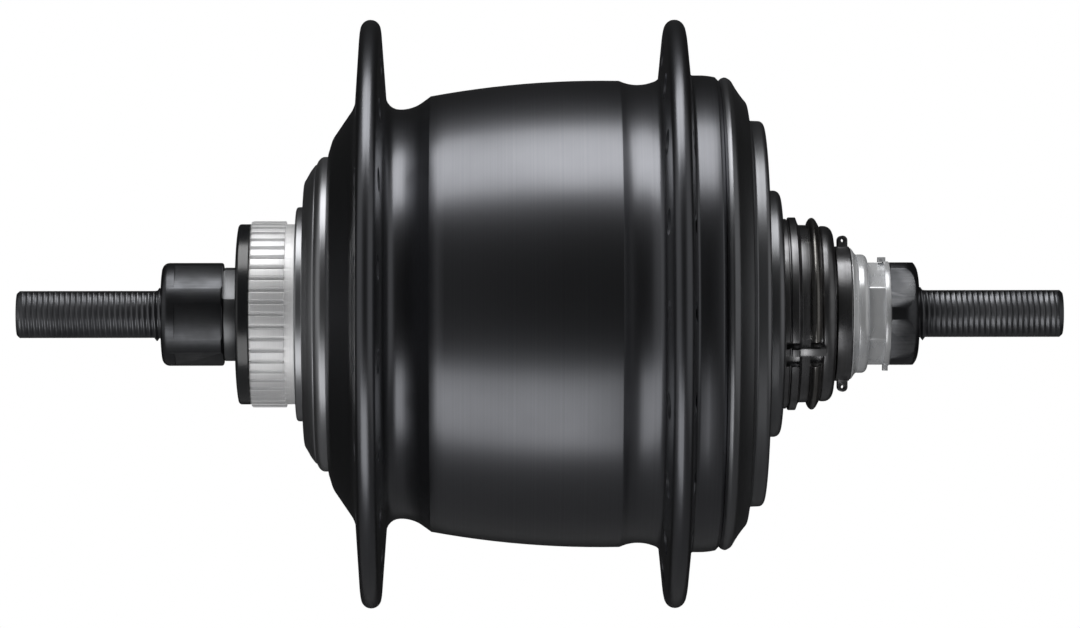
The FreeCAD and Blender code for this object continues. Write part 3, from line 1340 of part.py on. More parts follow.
def make_gears():
    low, high = "low_module", "high_module"
    sun_gear("sun_gear_1", "low_sun_teeth", low, "low_sun_x", number("sun_bore") + 1.6)
    sun_gear("sun_gear_2", "second_sun_teeth", high, "gears_x", number("sun_bore") + 0.55)
    sun_gear("sun_gear_3", "third_sun_teeth", high, "middle_step_x", number("sun_bore") + 1.2)
    sun_gear("sun_gear_4", "high_sun_teeth", high, "low_step_x", number("sun_bore") + 1.6)
    for index in range(PLANETS):
        planet("planet_gear_low", [
            ("low_planet_teeth", low, "low_sun_x", True),
            ("low_drive_teeth", low, "low_ring_x", True)], index)
        planet("planet_gear_high", [
            ("second_planet_teeth", high, "gears_x", True),
            ("third_planet_teeth", high, "middle_step_x", True),
            ("high_planet_teeth", high, "low_step_x", True)], index)


def make_bearings():
    balls("left_bearing_balls", "left_ball_count", "left_ball_x", "left_pitch_radius")
    ball_cage("left_ball_cage", "left_ball_count", "left_ball_x", "left_pitch_radius", 1)
    balls("driver_bearing_balls", "driver_ball_count", "driver_ball_x", "driver_pitch_radius")
    ball_cage("driver_ball_cage", "driver_ball_count", "driver_ball_x", "driver_pitch_radius", -1)
    balls("shell_bearing_balls", "shell_ball_count", "shell_ball_x", "shell_pitch_radius")
    ball_cage("shell_ball_cage", "shell_ball_count", "shell_ball_x", "shell_pitch_radius", -1)


def check_document():
    """Stop if any object failed or any node is empty or invalid."""
    DOC.recompute()
    bad = [item.Name for item in DOC.Objects if "Invalid" in item.State or "Error" in item.State]
    bad += [node.Label for node in NODES if node.Shape.isNull() or not node.Shape.isValid()]
    if bad:
        raise RuntimeError("failed: " + ", ".join(bad))


def main():
    fill_sheet()
    make_axle()
    make_sun_pawls()
    make_left_lock_nut()
    make_left_cone()
    make_left_dust_cap()
    make_right_cone()
    make_small_right_parts()
    make_right_lock_nut()
    make_return_spring()
    make_rotor_mount()
    make_left_ball_cup()
    make_end_cap()
    make_hub_shell()
    make_right_cup_and_cover()
    make_ring_gear_high()
    make_roller_clutch()
    make_driver()
    make_drive_pawls()
    make_ring_gear_low()
    make_driver_trim()
    make_drive_clutch()
    make_carrier()
    rods("planet_pins", "3", PLANET_ANGLE, "centre_distance", "pin_radius", "left_plate_x",
         "right_plate_end_x - left_plate_x")
    make_carrier_pawls()
    make_gears()
    make_shift_parts()
    make_bearings()
    check_document()
    os.makedirs("parts", exist_ok=True)
    for node in NODES:
        node.Shape.exportStep("parts/%s.step" % node.Label)
    print("%d nodes written" % len(NODES))


main()
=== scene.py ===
"""Dressed model of an eight speed gear hub: black shell, brake spline, driver, nuts and axle.

Sizes in the classes are millimetres. X runs along the axle towards the drive side, Z is up,
and the camera looks along +Y. An angle is taken about the axle, 90 degrees being the top and
180 degrees the side that faces the camera.
"""

from __future__ import annotations

import json
import logging
import math
from dataclasses import dataclass, field
from enum import Enum

import bmesh
import bpy
from mathutils import Matrix, Vector

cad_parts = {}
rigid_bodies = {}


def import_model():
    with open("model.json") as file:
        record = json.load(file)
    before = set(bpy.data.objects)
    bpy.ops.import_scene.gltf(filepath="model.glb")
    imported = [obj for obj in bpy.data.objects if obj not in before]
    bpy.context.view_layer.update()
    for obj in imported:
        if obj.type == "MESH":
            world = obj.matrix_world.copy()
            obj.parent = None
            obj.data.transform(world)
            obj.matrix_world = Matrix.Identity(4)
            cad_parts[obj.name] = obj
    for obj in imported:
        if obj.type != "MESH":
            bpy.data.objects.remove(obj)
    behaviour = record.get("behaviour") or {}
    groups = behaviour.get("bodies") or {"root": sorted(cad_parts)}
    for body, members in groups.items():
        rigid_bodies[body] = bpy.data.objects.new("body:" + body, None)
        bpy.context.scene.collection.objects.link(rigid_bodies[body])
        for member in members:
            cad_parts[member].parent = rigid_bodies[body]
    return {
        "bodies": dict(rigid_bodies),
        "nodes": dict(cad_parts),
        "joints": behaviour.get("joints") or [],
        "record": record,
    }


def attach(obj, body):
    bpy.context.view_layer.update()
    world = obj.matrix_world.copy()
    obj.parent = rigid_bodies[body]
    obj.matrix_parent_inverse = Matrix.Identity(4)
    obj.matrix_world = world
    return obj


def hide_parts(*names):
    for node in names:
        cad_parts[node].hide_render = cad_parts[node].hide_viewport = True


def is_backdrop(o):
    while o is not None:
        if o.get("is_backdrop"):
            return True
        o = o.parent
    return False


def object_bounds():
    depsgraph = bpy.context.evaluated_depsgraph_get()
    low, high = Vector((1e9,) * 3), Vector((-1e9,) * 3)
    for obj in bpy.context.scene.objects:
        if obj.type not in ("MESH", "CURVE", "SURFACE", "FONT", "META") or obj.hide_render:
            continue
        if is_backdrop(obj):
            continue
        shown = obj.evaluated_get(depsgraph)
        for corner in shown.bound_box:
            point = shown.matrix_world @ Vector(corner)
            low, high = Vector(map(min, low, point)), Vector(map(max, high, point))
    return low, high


LOG = logging.getLogger("gear_hub")
MM = 0.001
FULL_TURN = 2.0 * math.pi
ROUND_STEPS = 192
CROWN_STEPS = 12
MERGE = 2e-6
SHARP_ANGLE = math.radians(32.0)
EDGE_ANGLE = math.radians(35.0)

Row = tuple[float, ...]
Colour = tuple[float, float, float, float]


def linear(code: str) -> Colour:
    """Turn an sRGB hex colour into linear light.

    Args:
        code: Six hex digits.

    Returns:
        Red, green, blue and an alpha of one.
    """
    parts = [int(code[place:place + 2], 16) / 255.0 for place in (0, 2, 4)]
    red, green, blue = [
        part / 12.92 if part <= 0.04045 else ((part + 0.055) / 1.055) ** 2.4 for part in parts]
    return red, green, blue, 1.0


def add_node(tree: bpy.types.NodeTree, kind: str, inputs: dict | None = None,
             **settings: object) -> bpy.types.Node:
    """Add a node with its settings, values and links.

    Args:
        tree: Node tree that gets the node.
        kind: Type name of the node.
        inputs: Socket name or number, and the value or output socket that it takes.
        **settings: Properties of the node.

    Returns:
        The new node.
    """
    node = tree.nodes.new(kind)
    for name, value in settings.items():
        setattr(node, name, value)
    for key, value in (inputs or {}).items():
        if isinstance(value, bpy.types.NodeSocket):
            tree.links.new(value, node.inputs[key])
        else:
            node.inputs[key].default_value = value
    return node


class Grain(Enum):
    """Marks that the making of a surface leaves on it."""

    TURNED = "rings of a lathe tool or of a polishing wheel"
    DRAWN = "streaks along a drawn or milled bar"
    SOFT = "fine orange peel of paint, casting or moulding"


@dataclass(frozen=True)
class Finish:
    """A material: what it is made of, how it was worked and how it wears.

    Attributes:
        name: Real material and process.
        tone: Colour of the clean surface, sRGB hex.
        shade: Colour of its duller or oilier patches.
        metallic: Zero for paint, plastic and rubber, one for bare metal.
        roughness: Mean roughness.
        swing: How far the roughness goes up and down.
        grain: Marks of the process.
        pitch: Spacing of the marks in millimetres.
        relief: Height of the marks in millimetres.
        patch: Size of the duller patches in millimetres.
        wear: Colour of rubbed edges, or nothing where edges stay as they are.
        coat: Weight of a clear lacquer or oil film.
        coat_roughness: Roughness of that film.
        specular: Specular level of a surface that isn't metal.
    """

    name: str
    tone: str
    shade: str
    metallic: float
    roughness: float
    swing: float
    grain: Grain
    pitch: float
    relief: float
    patch: float = 14.0
    wear: str = ""
    coat: float = 0.0
    coat_roughness: float = 0.1
    specular: float = 0.5

    def marks(self, tree: bpy.types.NodeTree, place: bpy.types.NodeSocket) -> bpy.types.NodeSocket:
        """Noise that follows the marks of the process.

        Args:
            tree: Node tree of the material.
            place: Object coordinates.

        Returns:
            Height of the marks from zero to one.
        """
        per_metre = 1.0 / (self.pitch * MM)
        if self.grain is Grain.TURNED:
            split = add_node(tree, "ShaderNodeSeparateXYZ", {0: place}).outputs
            spoke = add_node(tree, "ShaderNodeCombineXYZ", {1: split["Y"], 2: split["Z"]}).outputs[0]
            radius = add_node(tree, "ShaderNodeVectorMath", {0: spoke}, operation="LENGTH")
            path = add_node(tree, "ShaderNodeMath", {0: split["X"], 1: radius.outputs["Value"]})
            return add_node(tree, "ShaderNodeTexNoise", {
                "W": path.outputs[0], "Scale": per_metre, "Detail": 3.0, "Roughness": 0.65},
                noise_dimensions="1D").outputs[0]
        stretch = (0.08, 1.0, 1.0) if self.grain is Grain.DRAWN else (1.0, 1.0, 1.0)
        moved = add_node(tree, "ShaderNodeMapping", {"Vector": place, "Scale": stretch}).outputs[0]
        return add_node(tree, "ShaderNodeTexNoise", {
            "Vector": moved, "Scale": per_metre, "Detail": 2.0, "Roughness": 0.55}).outputs[0]

    def material(self) -> bpy.types.Material:
        """Build the procedural material of this finish."""
        made = bpy.data.materials.new(self.name)
        made.use_nodes = True
        tree = made.node_tree
        tree.nodes.clear()
        place = add_node(tree, "ShaderNodeTexCoord").outputs["Object"]
        marks = self.marks(tree, place)
        patches = add_node(tree, "ShaderNodeTexNoise", {
            "Vector": place, "Scale": 1.0 / (self.patch * MM), "Detail": 4.0}).outputs[0]
        cloud = add_node(tree, "ShaderNodeMath", {0: marks, 1: 0.35, 2: patches}, operation="MULTIPLY_ADD")
        blend = add_node(tree, "ShaderNodeMapRange", {
            "Value": cloud.outputs[0], "From Min": 0.45, "From Max": 0.9}).outputs[0]
        colour = add_node(tree, "ShaderNodeMix", {
            0: blend, 6: linear(self.shade), 7: linear(self.tone)}, data_type="RGBA").outputs[2]
        rough = add_node(tree, "ShaderNodeMapRange", {
            "Value": blend, "To Min": self.roughness + self.swing,
            "To Max": self.roughness - self.swing}).outputs[0]
        if self.wear:
            edge = add_node(tree, "ShaderNodeMapRange", {
                "Value": add_node(tree, "ShaderNodeNewGeometry").outputs["Pointiness"],
                "From Min": 0.53, "From Max": 0.62, "To Max": 0.75}).outputs[0]
            rubbed = add_node(tree, "ShaderNodeMath", {0: edge, 1: blend}, operation="MULTIPLY").outputs[0]
            colour = add_node(tree, "ShaderNodeMix", {
                0: rubbed, 6: colour, 7: linear(self.wear)}, data_type="RGBA").outputs[2]
        bump = add_node(tree, "ShaderNodeBump", {
            "Height": marks, "Distance": self.relief * MM, "Strength": 1.0}).outputs[0]
        shader = add_node(tree, "ShaderNodeBsdfPrincipled", {
            "Base Color": colour, "Roughness": rough, "Normal": bump, "Metallic": self.metallic,
            "Coat Weight": self.coat, "Coat Roughness": self.coat_roughness,
            "Specular IOR Level": self.specular})
        add_node(tree, "ShaderNodeOutputMaterial", {"Surface": shader.outputs[0]})
        return made


# The first line of each entry says what the finish gives the eye.
FINISHES: dict[str, Finish] = {
    # Dark wet looking satin over a smooth casting: long soft highlights, faint polishing rings.
    "shell_black": Finish("black_lacquered_cast_aluminium", "6b6c70", "5f6064", 1.0, 0.33, 0.03,
                          Grain.TURNED, 0.5, 0.0006, 30.0, coat=0.25, coat_roughness=0.22),
    # Pressed steel under the same black, a little duller, with a ring now and then.
    "cover_black": Finish("black_painted_pressed_steel", "8c8d90", "7d7e81", 1.0, 0.36, 0.05,
                          Grain.TURNED, 0.6, 0.0012, 20.0),
    # Black nickel over pressed steel: smooth, with bright bands on its rounded steps.
    "cap_nickel": Finish("black_nickel_pressed_steel", "b0b1b4", "a2a3a6", 1.0, 0.36, 0.04,
                         Grain.TURNED, 0.5, 0.0008, 20.0),
    # Bright machined aluminium with turning rings that break up its reflections.
    "spline_alloy": Finish("machined_aluminium", "ffffff", "f0f0f1", 0.75, 0.55, 0.04,
                           Grain.TURNED, 0.25, 0.0003, 8.0),
    # Rolled thread, oxidised almost black, with grey rubbed crests.
    "axle": Finish("black_oxide_rolled_steel", "77787b", "5c5d60", 1.0, 0.36, 0.08,
                   Grain.TURNED, 0.3, 0.002, 6.0, wear="a5a6a8"),
    # Black oxide over milled bar: oily black that shows grey where a spanner rubbed it.
    "black_steel": Finish("black_oxide_milled_steel", "5c5d60", "4a4b4d", 1.0, 0.34, 0.07,
                          Grain.DRAWN, 0.35, 0.002, 5.0, wear="8a8b8d"),
    # Ground bearing steel.
    "cone_steel": Finish("ground_bearing_steel", "858688", "747577", 1.0, 0.42, 0.05,
                         Grain.TURNED, 0.2, 0.0012, 6.0),
    # Zinc plate, bright and slightly cool.
    "bright_steel": Finish("zinc_plated_steel", "fafbfc", "e6e8eb", 0.4, 0.26, 0.05,
                           Grain.TURNED, 0.3, 0.0015, 5.0),
    # Hardened steel with an oil film, brown grey in the grooves.
    "driver_steel": Finish("oiled_hardened_steel", "8b8b8d", "6a6a6b", 1.0, 0.32, 0.08,
                           Grain.TURNED, 0.3, 0.003, 5.0, wear="b4b4b5"),
    # Machined gear steel.
    "gear_steel": Finish("hobbed_gear_steel", "a6a7a9", "8d8e90", 1.0, 0.33, 0.06,
                         Grain.DRAWN, 0.4, 0.002, 8.0),
    # Polished bearing balls and rollers.
    "ball_steel": Finish("polished_chrome_steel", "dcdddf", "cfd0d2", 1.0, 0.08, 0.02,
                         Grain.SOFT, 0.5, 0.0002, 6.0),
    # Spring wire with its drawing marks.
    "spring_steel": Finish("oiled_spring_steel", "8e8c89", "6d6b68", 1.0, 0.30, 0.07,
                           Grain.TURNED, 0.25, 0.002, 5.0, wear="b5b3b0"),
    # Moulded black plastic with a fine satin skin.
    "dust_cap": Finish("moulded_black_nylon", "1f2022", "17181a", 0.0, 0.22, 0.04,
                       Grain.SOFT, 0.5, 0.001, 9.0, specular=0.9),
    # Seal rubber, dull and nearly black.
    "seal_rubber": Finish("moulded_nitrile_rubber", "1c1c1d", "131314", 0.0, 0.6, 0.08,
                          Grain.SOFT, 0.4, 0.004, 6.0, specular=0.4),
}


class Shop:
    """Workshop that turns, cuts and finishes the pieces and hands out their materials."""

    def __init__(self, frame: dict) -> None:
        """Keep the frame and build every finish once."""
        self.nodes = frame["nodes"]
        self.bodies = frame["bodies"]
        self.slots = {part["node"]: part["material_slot"] for part in frame["record"]["subparts"]}
        self.body_of = {node: body for body, nodes in frame["record"]["behaviour"]["bodies"].items()
                        for node in nodes}
        self.materials = {slot: finish.material() for slot, finish in FINISHES.items()}
        self.replaced: set[str] = set()

    @staticmethod
    def turned(rows: list[Row], steps: int = ROUND_STEPS, segments: int = 6) -> bmesh.types.BMesh:
        """Turn a closed profile about the axle.

        Args:
            rows: Corners as (x, radius, softness, crown): softness rounds the corner, and crown
                bulges the line that follows it, outwards where positive.
            steps: Sides of the turned shape.
            segments: Steps in a rounded corner.

        Returns:
            The turned shape, closed and facing outwards.
        """
        mesh = bmesh.new()
        corners: list[bmesh.types.BMVert] = []
        soft: dict[float, list[bmesh.types.BMVert]] = {}
        for row, after in zip(rows, rows[1:] + rows[:1]):
            start, end = Vector((row[0], 0.0, row[1])), Vector((after[0], 0.0, after[1]))
            corners.append(mesh.verts.new(start * MM))
            if len(row) > 2 and row[2]:
                soft.setdefault(row[2], []).append(corners[-1])
            if len(row) > 3:
                out = Vector((start.z - end.z, 0.0, end.x - start.x)).normalized()
                for step in range(1, CROWN_STEPS):
                    part = step / CROWN_STEPS
                    bulge = out * 4.0 * row[3] * part * (1.0 - part)
                    corners.append(mesh.verts.new((start.lerp(end, part) + bulge) * MM))
        for one, other in zip(corners, corners[1:] + corners[:1]):
            mesh.edges.new((one, other))
        for reach, group in soft.items():
            bmesh.ops.bevel(mesh, geom=group, offset=reach * MM, offset_type="OFFSET",
                            segments=segments, profile=0.5, affect="VERTICES", material=-1,
                            clamp_overlap=True)
        bmesh.ops.spin(mesh, geom=mesh.verts[:] + mesh.edges[:], cent=(0.0, 0.0, 0.0),
                       axis=(1.0, 0.0, 0.0), angle=FULL_TURN, steps=steps, use_merge=True,
                       use_duplicate=False)
        bmesh.ops.remove_doubles(mesh, verts=mesh.verts[:], dist=MERGE)
        bmesh.ops.dissolve_degenerate(mesh, edges=mesh.edges[:], dist=MERGE / 10)
        bmesh.ops.recalc_face_normals(mesh, faces=mesh.faces[:])
        return mesh

    @staticmethod
    def block(mesh: bmesh.types.BMesh, angle: float, across: Row, out: Row, along: Row) -> list:
        """Add a block that stands off the axle at an angle.

        Args:
            mesh: Mesh that gets the block.
            angle: Direction in degrees about the axle.
            across: Low and high edge across that direction.
            out: Low and high edge away from the axle.
            along: Left and right end along the axle.

        Returns:
            The vertices of the block.
        """
        verts = bmesh.ops.create_cube(mesh, size=1.0)["verts"]
        low = Vector((along[0], out[0], across[0])) * MM
        high = Vector((along[1], out[1], across[1])) * MM
        bmesh.ops.scale(mesh, vec=high - low, verts=verts)
        bmesh.ops.translate(mesh, vec=(low + high) / 2.0, verts=verts)
        bmesh.ops.rotate(mesh, cent=(0.0, 0.0, 0.0), verts=verts,
                         matrix=Matrix.Rotation(math.radians(angle), 3, "X"))
        return verts

    def blocks(self, angles: list[float], across: Row, out: Row, along: Row) -> bmesh.types.BMesh:
        """Equal blocks at several angles in one mesh."""
        mesh = bmesh.new()
        for angle in angles:
            self.block(mesh, angle, across, out, along)
        return mesh

    def copy_of(self, node: str) -> bmesh.types.BMesh:
        """Closed copy of a CAD node's mesh."""
        mesh = bmesh.new()
        mesh.from_mesh(self.nodes[node].data)
        bmesh.ops.remove_doubles(mesh, verts=mesh.verts[:], dist=MERGE)
        return mesh

    @staticmethod
    def slice(mesh: bmesh.types.BMesh, station: float, side: int) -> None:
        """Cut a shape across the axle and close the cut.

        Args:
            mesh: Shape to cut.
            station: Place of the cut.
            side: Side that goes, 1 for the right and -1 for the left.
        """
        cut = bmesh.ops.bisect_plane(mesh, geom=mesh.verts[:] + mesh.edges[:] + mesh.faces[:],
                                     plane_co=(station * MM, 0.0, 0.0), plane_no=(side, 0.0, 0.0),
                                     clear_outer=True)
        edges = [item for item in cut["geom_cut"] if isinstance(item, bmesh.types.BMEdge)]
        loose = [edge for edge in edges if edge.is_boundary]
        bmesh.ops.holes_fill(mesh, edges=loose, sides=0)

    def piece(self, name: str, node: str, *shapes: bmesh.types.BMesh) -> bpy.types.Object:
        """Make an object of one or more closed shapes, in its CAD node's place and finish.

        Args:
            name: Name of the piece.
            node: CAD node that it stands for.
            *shapes: Meshes, which are used up.

        Returns:
            The object, riding on the node's body.
        """
        data = bpy.data.meshes.new(name)
        made = bpy.data.objects.new(name, data)
        self.join(made, *shapes)
        bpy.context.scene.collection.objects.link(made)
        data.materials.append(self.materials[self.slots[node]])
        self.replaced.add(node)
        made["stands_for"] = node
        return made

    @staticmethod
    def join(piece: bpy.types.Object, *shapes: bmesh.types.BMesh) -> None:
        """Put closed shapes beside what a piece's mesh already holds, and use them up."""
        whole = bmesh.new()
        whole.from_mesh(piece.data)
        for shape in shapes:
            part = bpy.data.meshes.new("part")
            shape.to_mesh(part)
            shape.free()
            whole.from_mesh(part)
            bpy.data.meshes.remove(part)
        whole.to_mesh(piece.data)
        whole.free()

    @staticmethod
    def settle(piece: bpy.types.Object) -> None:
        """Turn a piece's modifiers into its mesh."""
        state = bpy.context.evaluated_depsgraph_get()
        mesh = bpy.data.meshes.new_from_object(piece.evaluated_get(state))
        piece.modifiers.clear()
        piece.data = mesh

    def cut(self, piece: bpy.types.Object, tool: bmesh.types.BMesh, operation: str = "DIFFERENCE") -> None:
        """Cut a tool's shape out of a piece, or join it to the piece.

        Args:
            piece: Object that changes.
            tool: Shape of the cut, which is used up.
            operation: DIFFERENCE, UNION or INTERSECT.
        """
        data = bpy.data.meshes.new("tool")
        bmesh.ops.recalc_face_normals(tool, faces=tool.faces[:])
        tool.to_mesh(data)
        tool.free()
        cutter = bpy.data.objects.new("tool", data)
        bpy.context.scene.collection.objects.link(cutter)
        work = piece.modifiers.new("cut", "BOOLEAN")
        work.operation = operation
        work.solver = "EXACT"
        work.object = cutter
        self.settle(piece)
        bpy.data.objects.remove(cutter)
        bpy.data.meshes.remove(data)

    def finish(self, piece: bpy.types.Object, edge: float = 0.0, segments: int = 2,
               joined: bmesh.types.BMesh | None = None) -> bpy.types.Object:
        """Break the sharp edges, shade the piece and put it on its body.

        Args:
            piece: Object to finish.
            edge: Width of the broken edge.
            segments: Steps across it.
            joined: Hidden CAD shape that belongs to the same piece.

        Returns:
            The same object.
        """
        if edge:
            work = piece.modifiers.new("edges", "BEVEL")
            work.width = edge * MM
            work.segments = segments
            work.limit_method = "ANGLE"
            work.angle_limit = EDGE_ANGLE
            self.settle(piece)
        if joined:
            self.join(piece, joined)
        piece.data.shade_smooth()
        piece.data.set_sharp_from_angle(angle=SHARP_ANGLE)
        node = piece["stands_for"]
        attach(piece, self.body_of[node])
        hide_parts(node)
        LOG.info("%s: %d faces", piece.name, len(piece.data.polygons))
        return piece


@dataclass
class ShellAssembly:
    """Spoke shell with its brake spline, left end cap and right cover."""

    shop: Shop
    left_flange: float = -30.2
    right_flange: float = 24.0
    flange_radius: float = 52.6
    flange_half: float = 1.65
    spoke_circle: float = 46.3
    spoke_count: int = 18
    spoke_hole: float = 1.45
    countersink: float = 1.35
    countersink_depth: float = 1.2
    spline_start: float = -51.5
    spline_end: float = -45.3
    spline_radius: float = 16.65
    spline_root: float = 15.9
    spline_teeth: int = 48
    space_foot: float = 0.14
    space_mouth: float = 0.22
    space_clear: float = 0.5
    space_start: float = 0.3

    def build(self) -> None:
        """Build every piece of the shell."""
        self.build_shell()
        self.build_spline()
        self.build_end_cap()
        self.build_cover()

    def build_shell(self) -> None:
        """Cast shell: left cone, two flanges, crowned barrel between two grooves, right end."""
        left, right, rim = self.left_flange, self.right_flange, self.flange_half
        shell = self.shop.piece("lacquered_shell", "hub_shell", self.shop.turned([
            (-37.7, 18.0), (-37.7, 28.9, 0.1), (-36.95, 31.35, 0.6), (left - 2.7, 37.3, 1.3),
            (left - rim, self.flange_radius, 1.6), (left + rim, self.flange_radius, 1.6),
            (left + 2.85, 36.6, 2.3), (-22.76, 36.6, 1.8), (-19.75, 38.75, 0.15),
            (-19.5, 38.95, 0.0, 0.85), (14.1, 41.7, 0.15), (15.3, 41.22, 0.6), (17.9, 40.75, 1.6),
            (20.9, 41.7, 0.6), (right - 2.7, 42.3, 0.4),
            (right - rim, self.flange_radius, 1.6), (right + rim, self.flange_radius, 1.6),
            (right + 2.7, 42.65, 0.6), (29.6, 42.65, 1.0), (31.2, 42.35, 0.4), (31.9, 41.6, 0.15),
            (31.9, 38.0), (27.2, 38.0), (27.2, 37.3),
            (-17.1, 37.3), (-19.5, 35.1), (-19.5, 30.0), (-33.4, 30.0), (-33.4, 18.0)]))
        self.shop.cut(shell, self.spoke_tools())
        self.shop.finish(shell)

    def spoke_tools(self) -> bmesh.types.BMesh:
        """Drill and countersink of every spoke hole in both flanges."""
        wide = self.spoke_hole + self.countersink_depth
        end = self.countersink + self.countersink_depth
        drill = self.shop.turned([
            (-end, 0.0), (-end, wide), (-self.countersink, self.spoke_hole),
            (self.countersink, self.spoke_hole), (end, wide), (end, 0.0)], steps=24)
        tools = bmesh.new()
        shape = bpy.data.meshes.new("drill")
        drill.to_mesh(shape)
        drill.free()
        for station, offset in ((self.left_flange, 0.0), (self.right_flange, 0.5)):
            for hole in range(self.spoke_count):
                angle = 90.0 + 360.0 / self.spoke_count * (hole + offset)
                before = len(tools.verts)
                tools.from_mesh(shape)
                tools.verts.ensure_lookup_table()
                verts = tools.verts[before:]
                bmesh.ops.translate(tools, vec=(station * MM, self.spoke_circle * MM, 0.0), verts=verts)
                bmesh.ops.rotate(tools, cent=(0.0, 0.0, 0.0), verts=verts,
                                 matrix=Matrix.Rotation(math.radians(angle), 3, "X"))
        bpy.data.meshes.remove(shape)
        return tools

    def build_spline(self) -> None:
        """Aluminium mount of the disc rotor, with its spline and shoulder."""
        mount = self.shop.piece("splined_rotor_mount", "rotor_mount", self.shop.turned([
            (self.spline_start, 14.2), (self.spline_start, self.spline_radius, 0.4),
            (self.spline_end, self.spline_radius), (self.spline_end, 16.1), (-43.5, 16.1),
            (-43.5, 18.0), (-33.4, 18.0), (-33.4, 10.2), (-41.2, 10.2), (-41.2, 14.2)]))
        mesh = bmesh.new()
        step = FULL_TURN / self.spline_teeth
        foot, mouth = self.space_foot, self.space_mouth
        far = self.spline_radius + self.space_clear
        start = (self.spline_start - self.space_start) * MM
        corners = [mesh.verts.new((start, radius * MM * math.cos(turn * step),
                                   radius * MM * math.sin(turn * step)))
                   for turn, radius in ((foot, self.spline_root), (mouth, far),
                                        (-mouth, far), (-foot, self.spline_root))]
        face = mesh.faces.new(corners)
        grown = bmesh.ops.extrude_face_region(mesh, geom=[face])
        ends = [item for item in grown["geom"] if isinstance(item, bmesh.types.BMVert)]
        bmesh.ops.translate(mesh, verts=ends, vec=(self.spline_end * MM - start, 0.0, 0.0))
        mesh.faces.ensure_lookup_table()
        bmesh.ops.spin(mesh, geom=mesh.verts[:] + mesh.edges[:] + mesh.faces[:], cent=(0.0, 0.0, 0.0),
                       axis=(1.0, 0.0, 0.0), angle=FULL_TURN, steps=self.spline_teeth,
                       use_merge=False, use_duplicate=True)
        bmesh.ops.remove_doubles(mesh, verts=mesh.verts[:], dist=MERGE)
        self.shop.cut(mount, mesh)
        self.shop.finish(mount, 0.08)

    def build_end_cap(self) -> None:
        """Nickelled cap between the rotor mount and the shell: a step and two round humps."""
        cap = self.shop.piece("pressed_end_cap", "left_end_cap", self.shop.turned([
            (-43.5, 18.0), (-43.5, 18.9, 0.2), (-43.2, 19.15, 0.15), (-42.05, 19.2, 0.15),
            (-42.05, 23.6, 0.25), (-41.45, 24.6, 0.4), (-40.85, 25.7, 0.5), (-40.05, 26.7, 0.15),
            (-39.85, 26.75, 0.1), (-39.5, 27.5, 0.3), (-38.85, 28.15, 0.45), (-37.7, 28.15),
            (-37.7, 26.4), (-38.8, 26.4), (-40.4, 23.3), (-40.4, 18.0)]))
        self.shop.finish(cap)

    def build_cover(self) -> None:
        """Black pressed cover that closes the shell round the driver."""
        cover = self.shop.piece("pressed_right_cover", "right_cover", self.shop.turned([
            (31.9, 39.7), (31.9, 41.7, 0.1), (32.3, 42.1, 0.15), (33.0, 42.35, 0.3),
            (34.0, 41.8, 0.4, -0.15), (36.75, 37.8, 0.3), (37.3, 34.55, 0.3), (39.9, 34.45, 0.9),
            (39.9, 22.7), (38.5, 22.7), (38.5, 33.2), (35.7, 33.2), (34.5, 38.9)]))
        self.shop.finish(cover, 0.1)


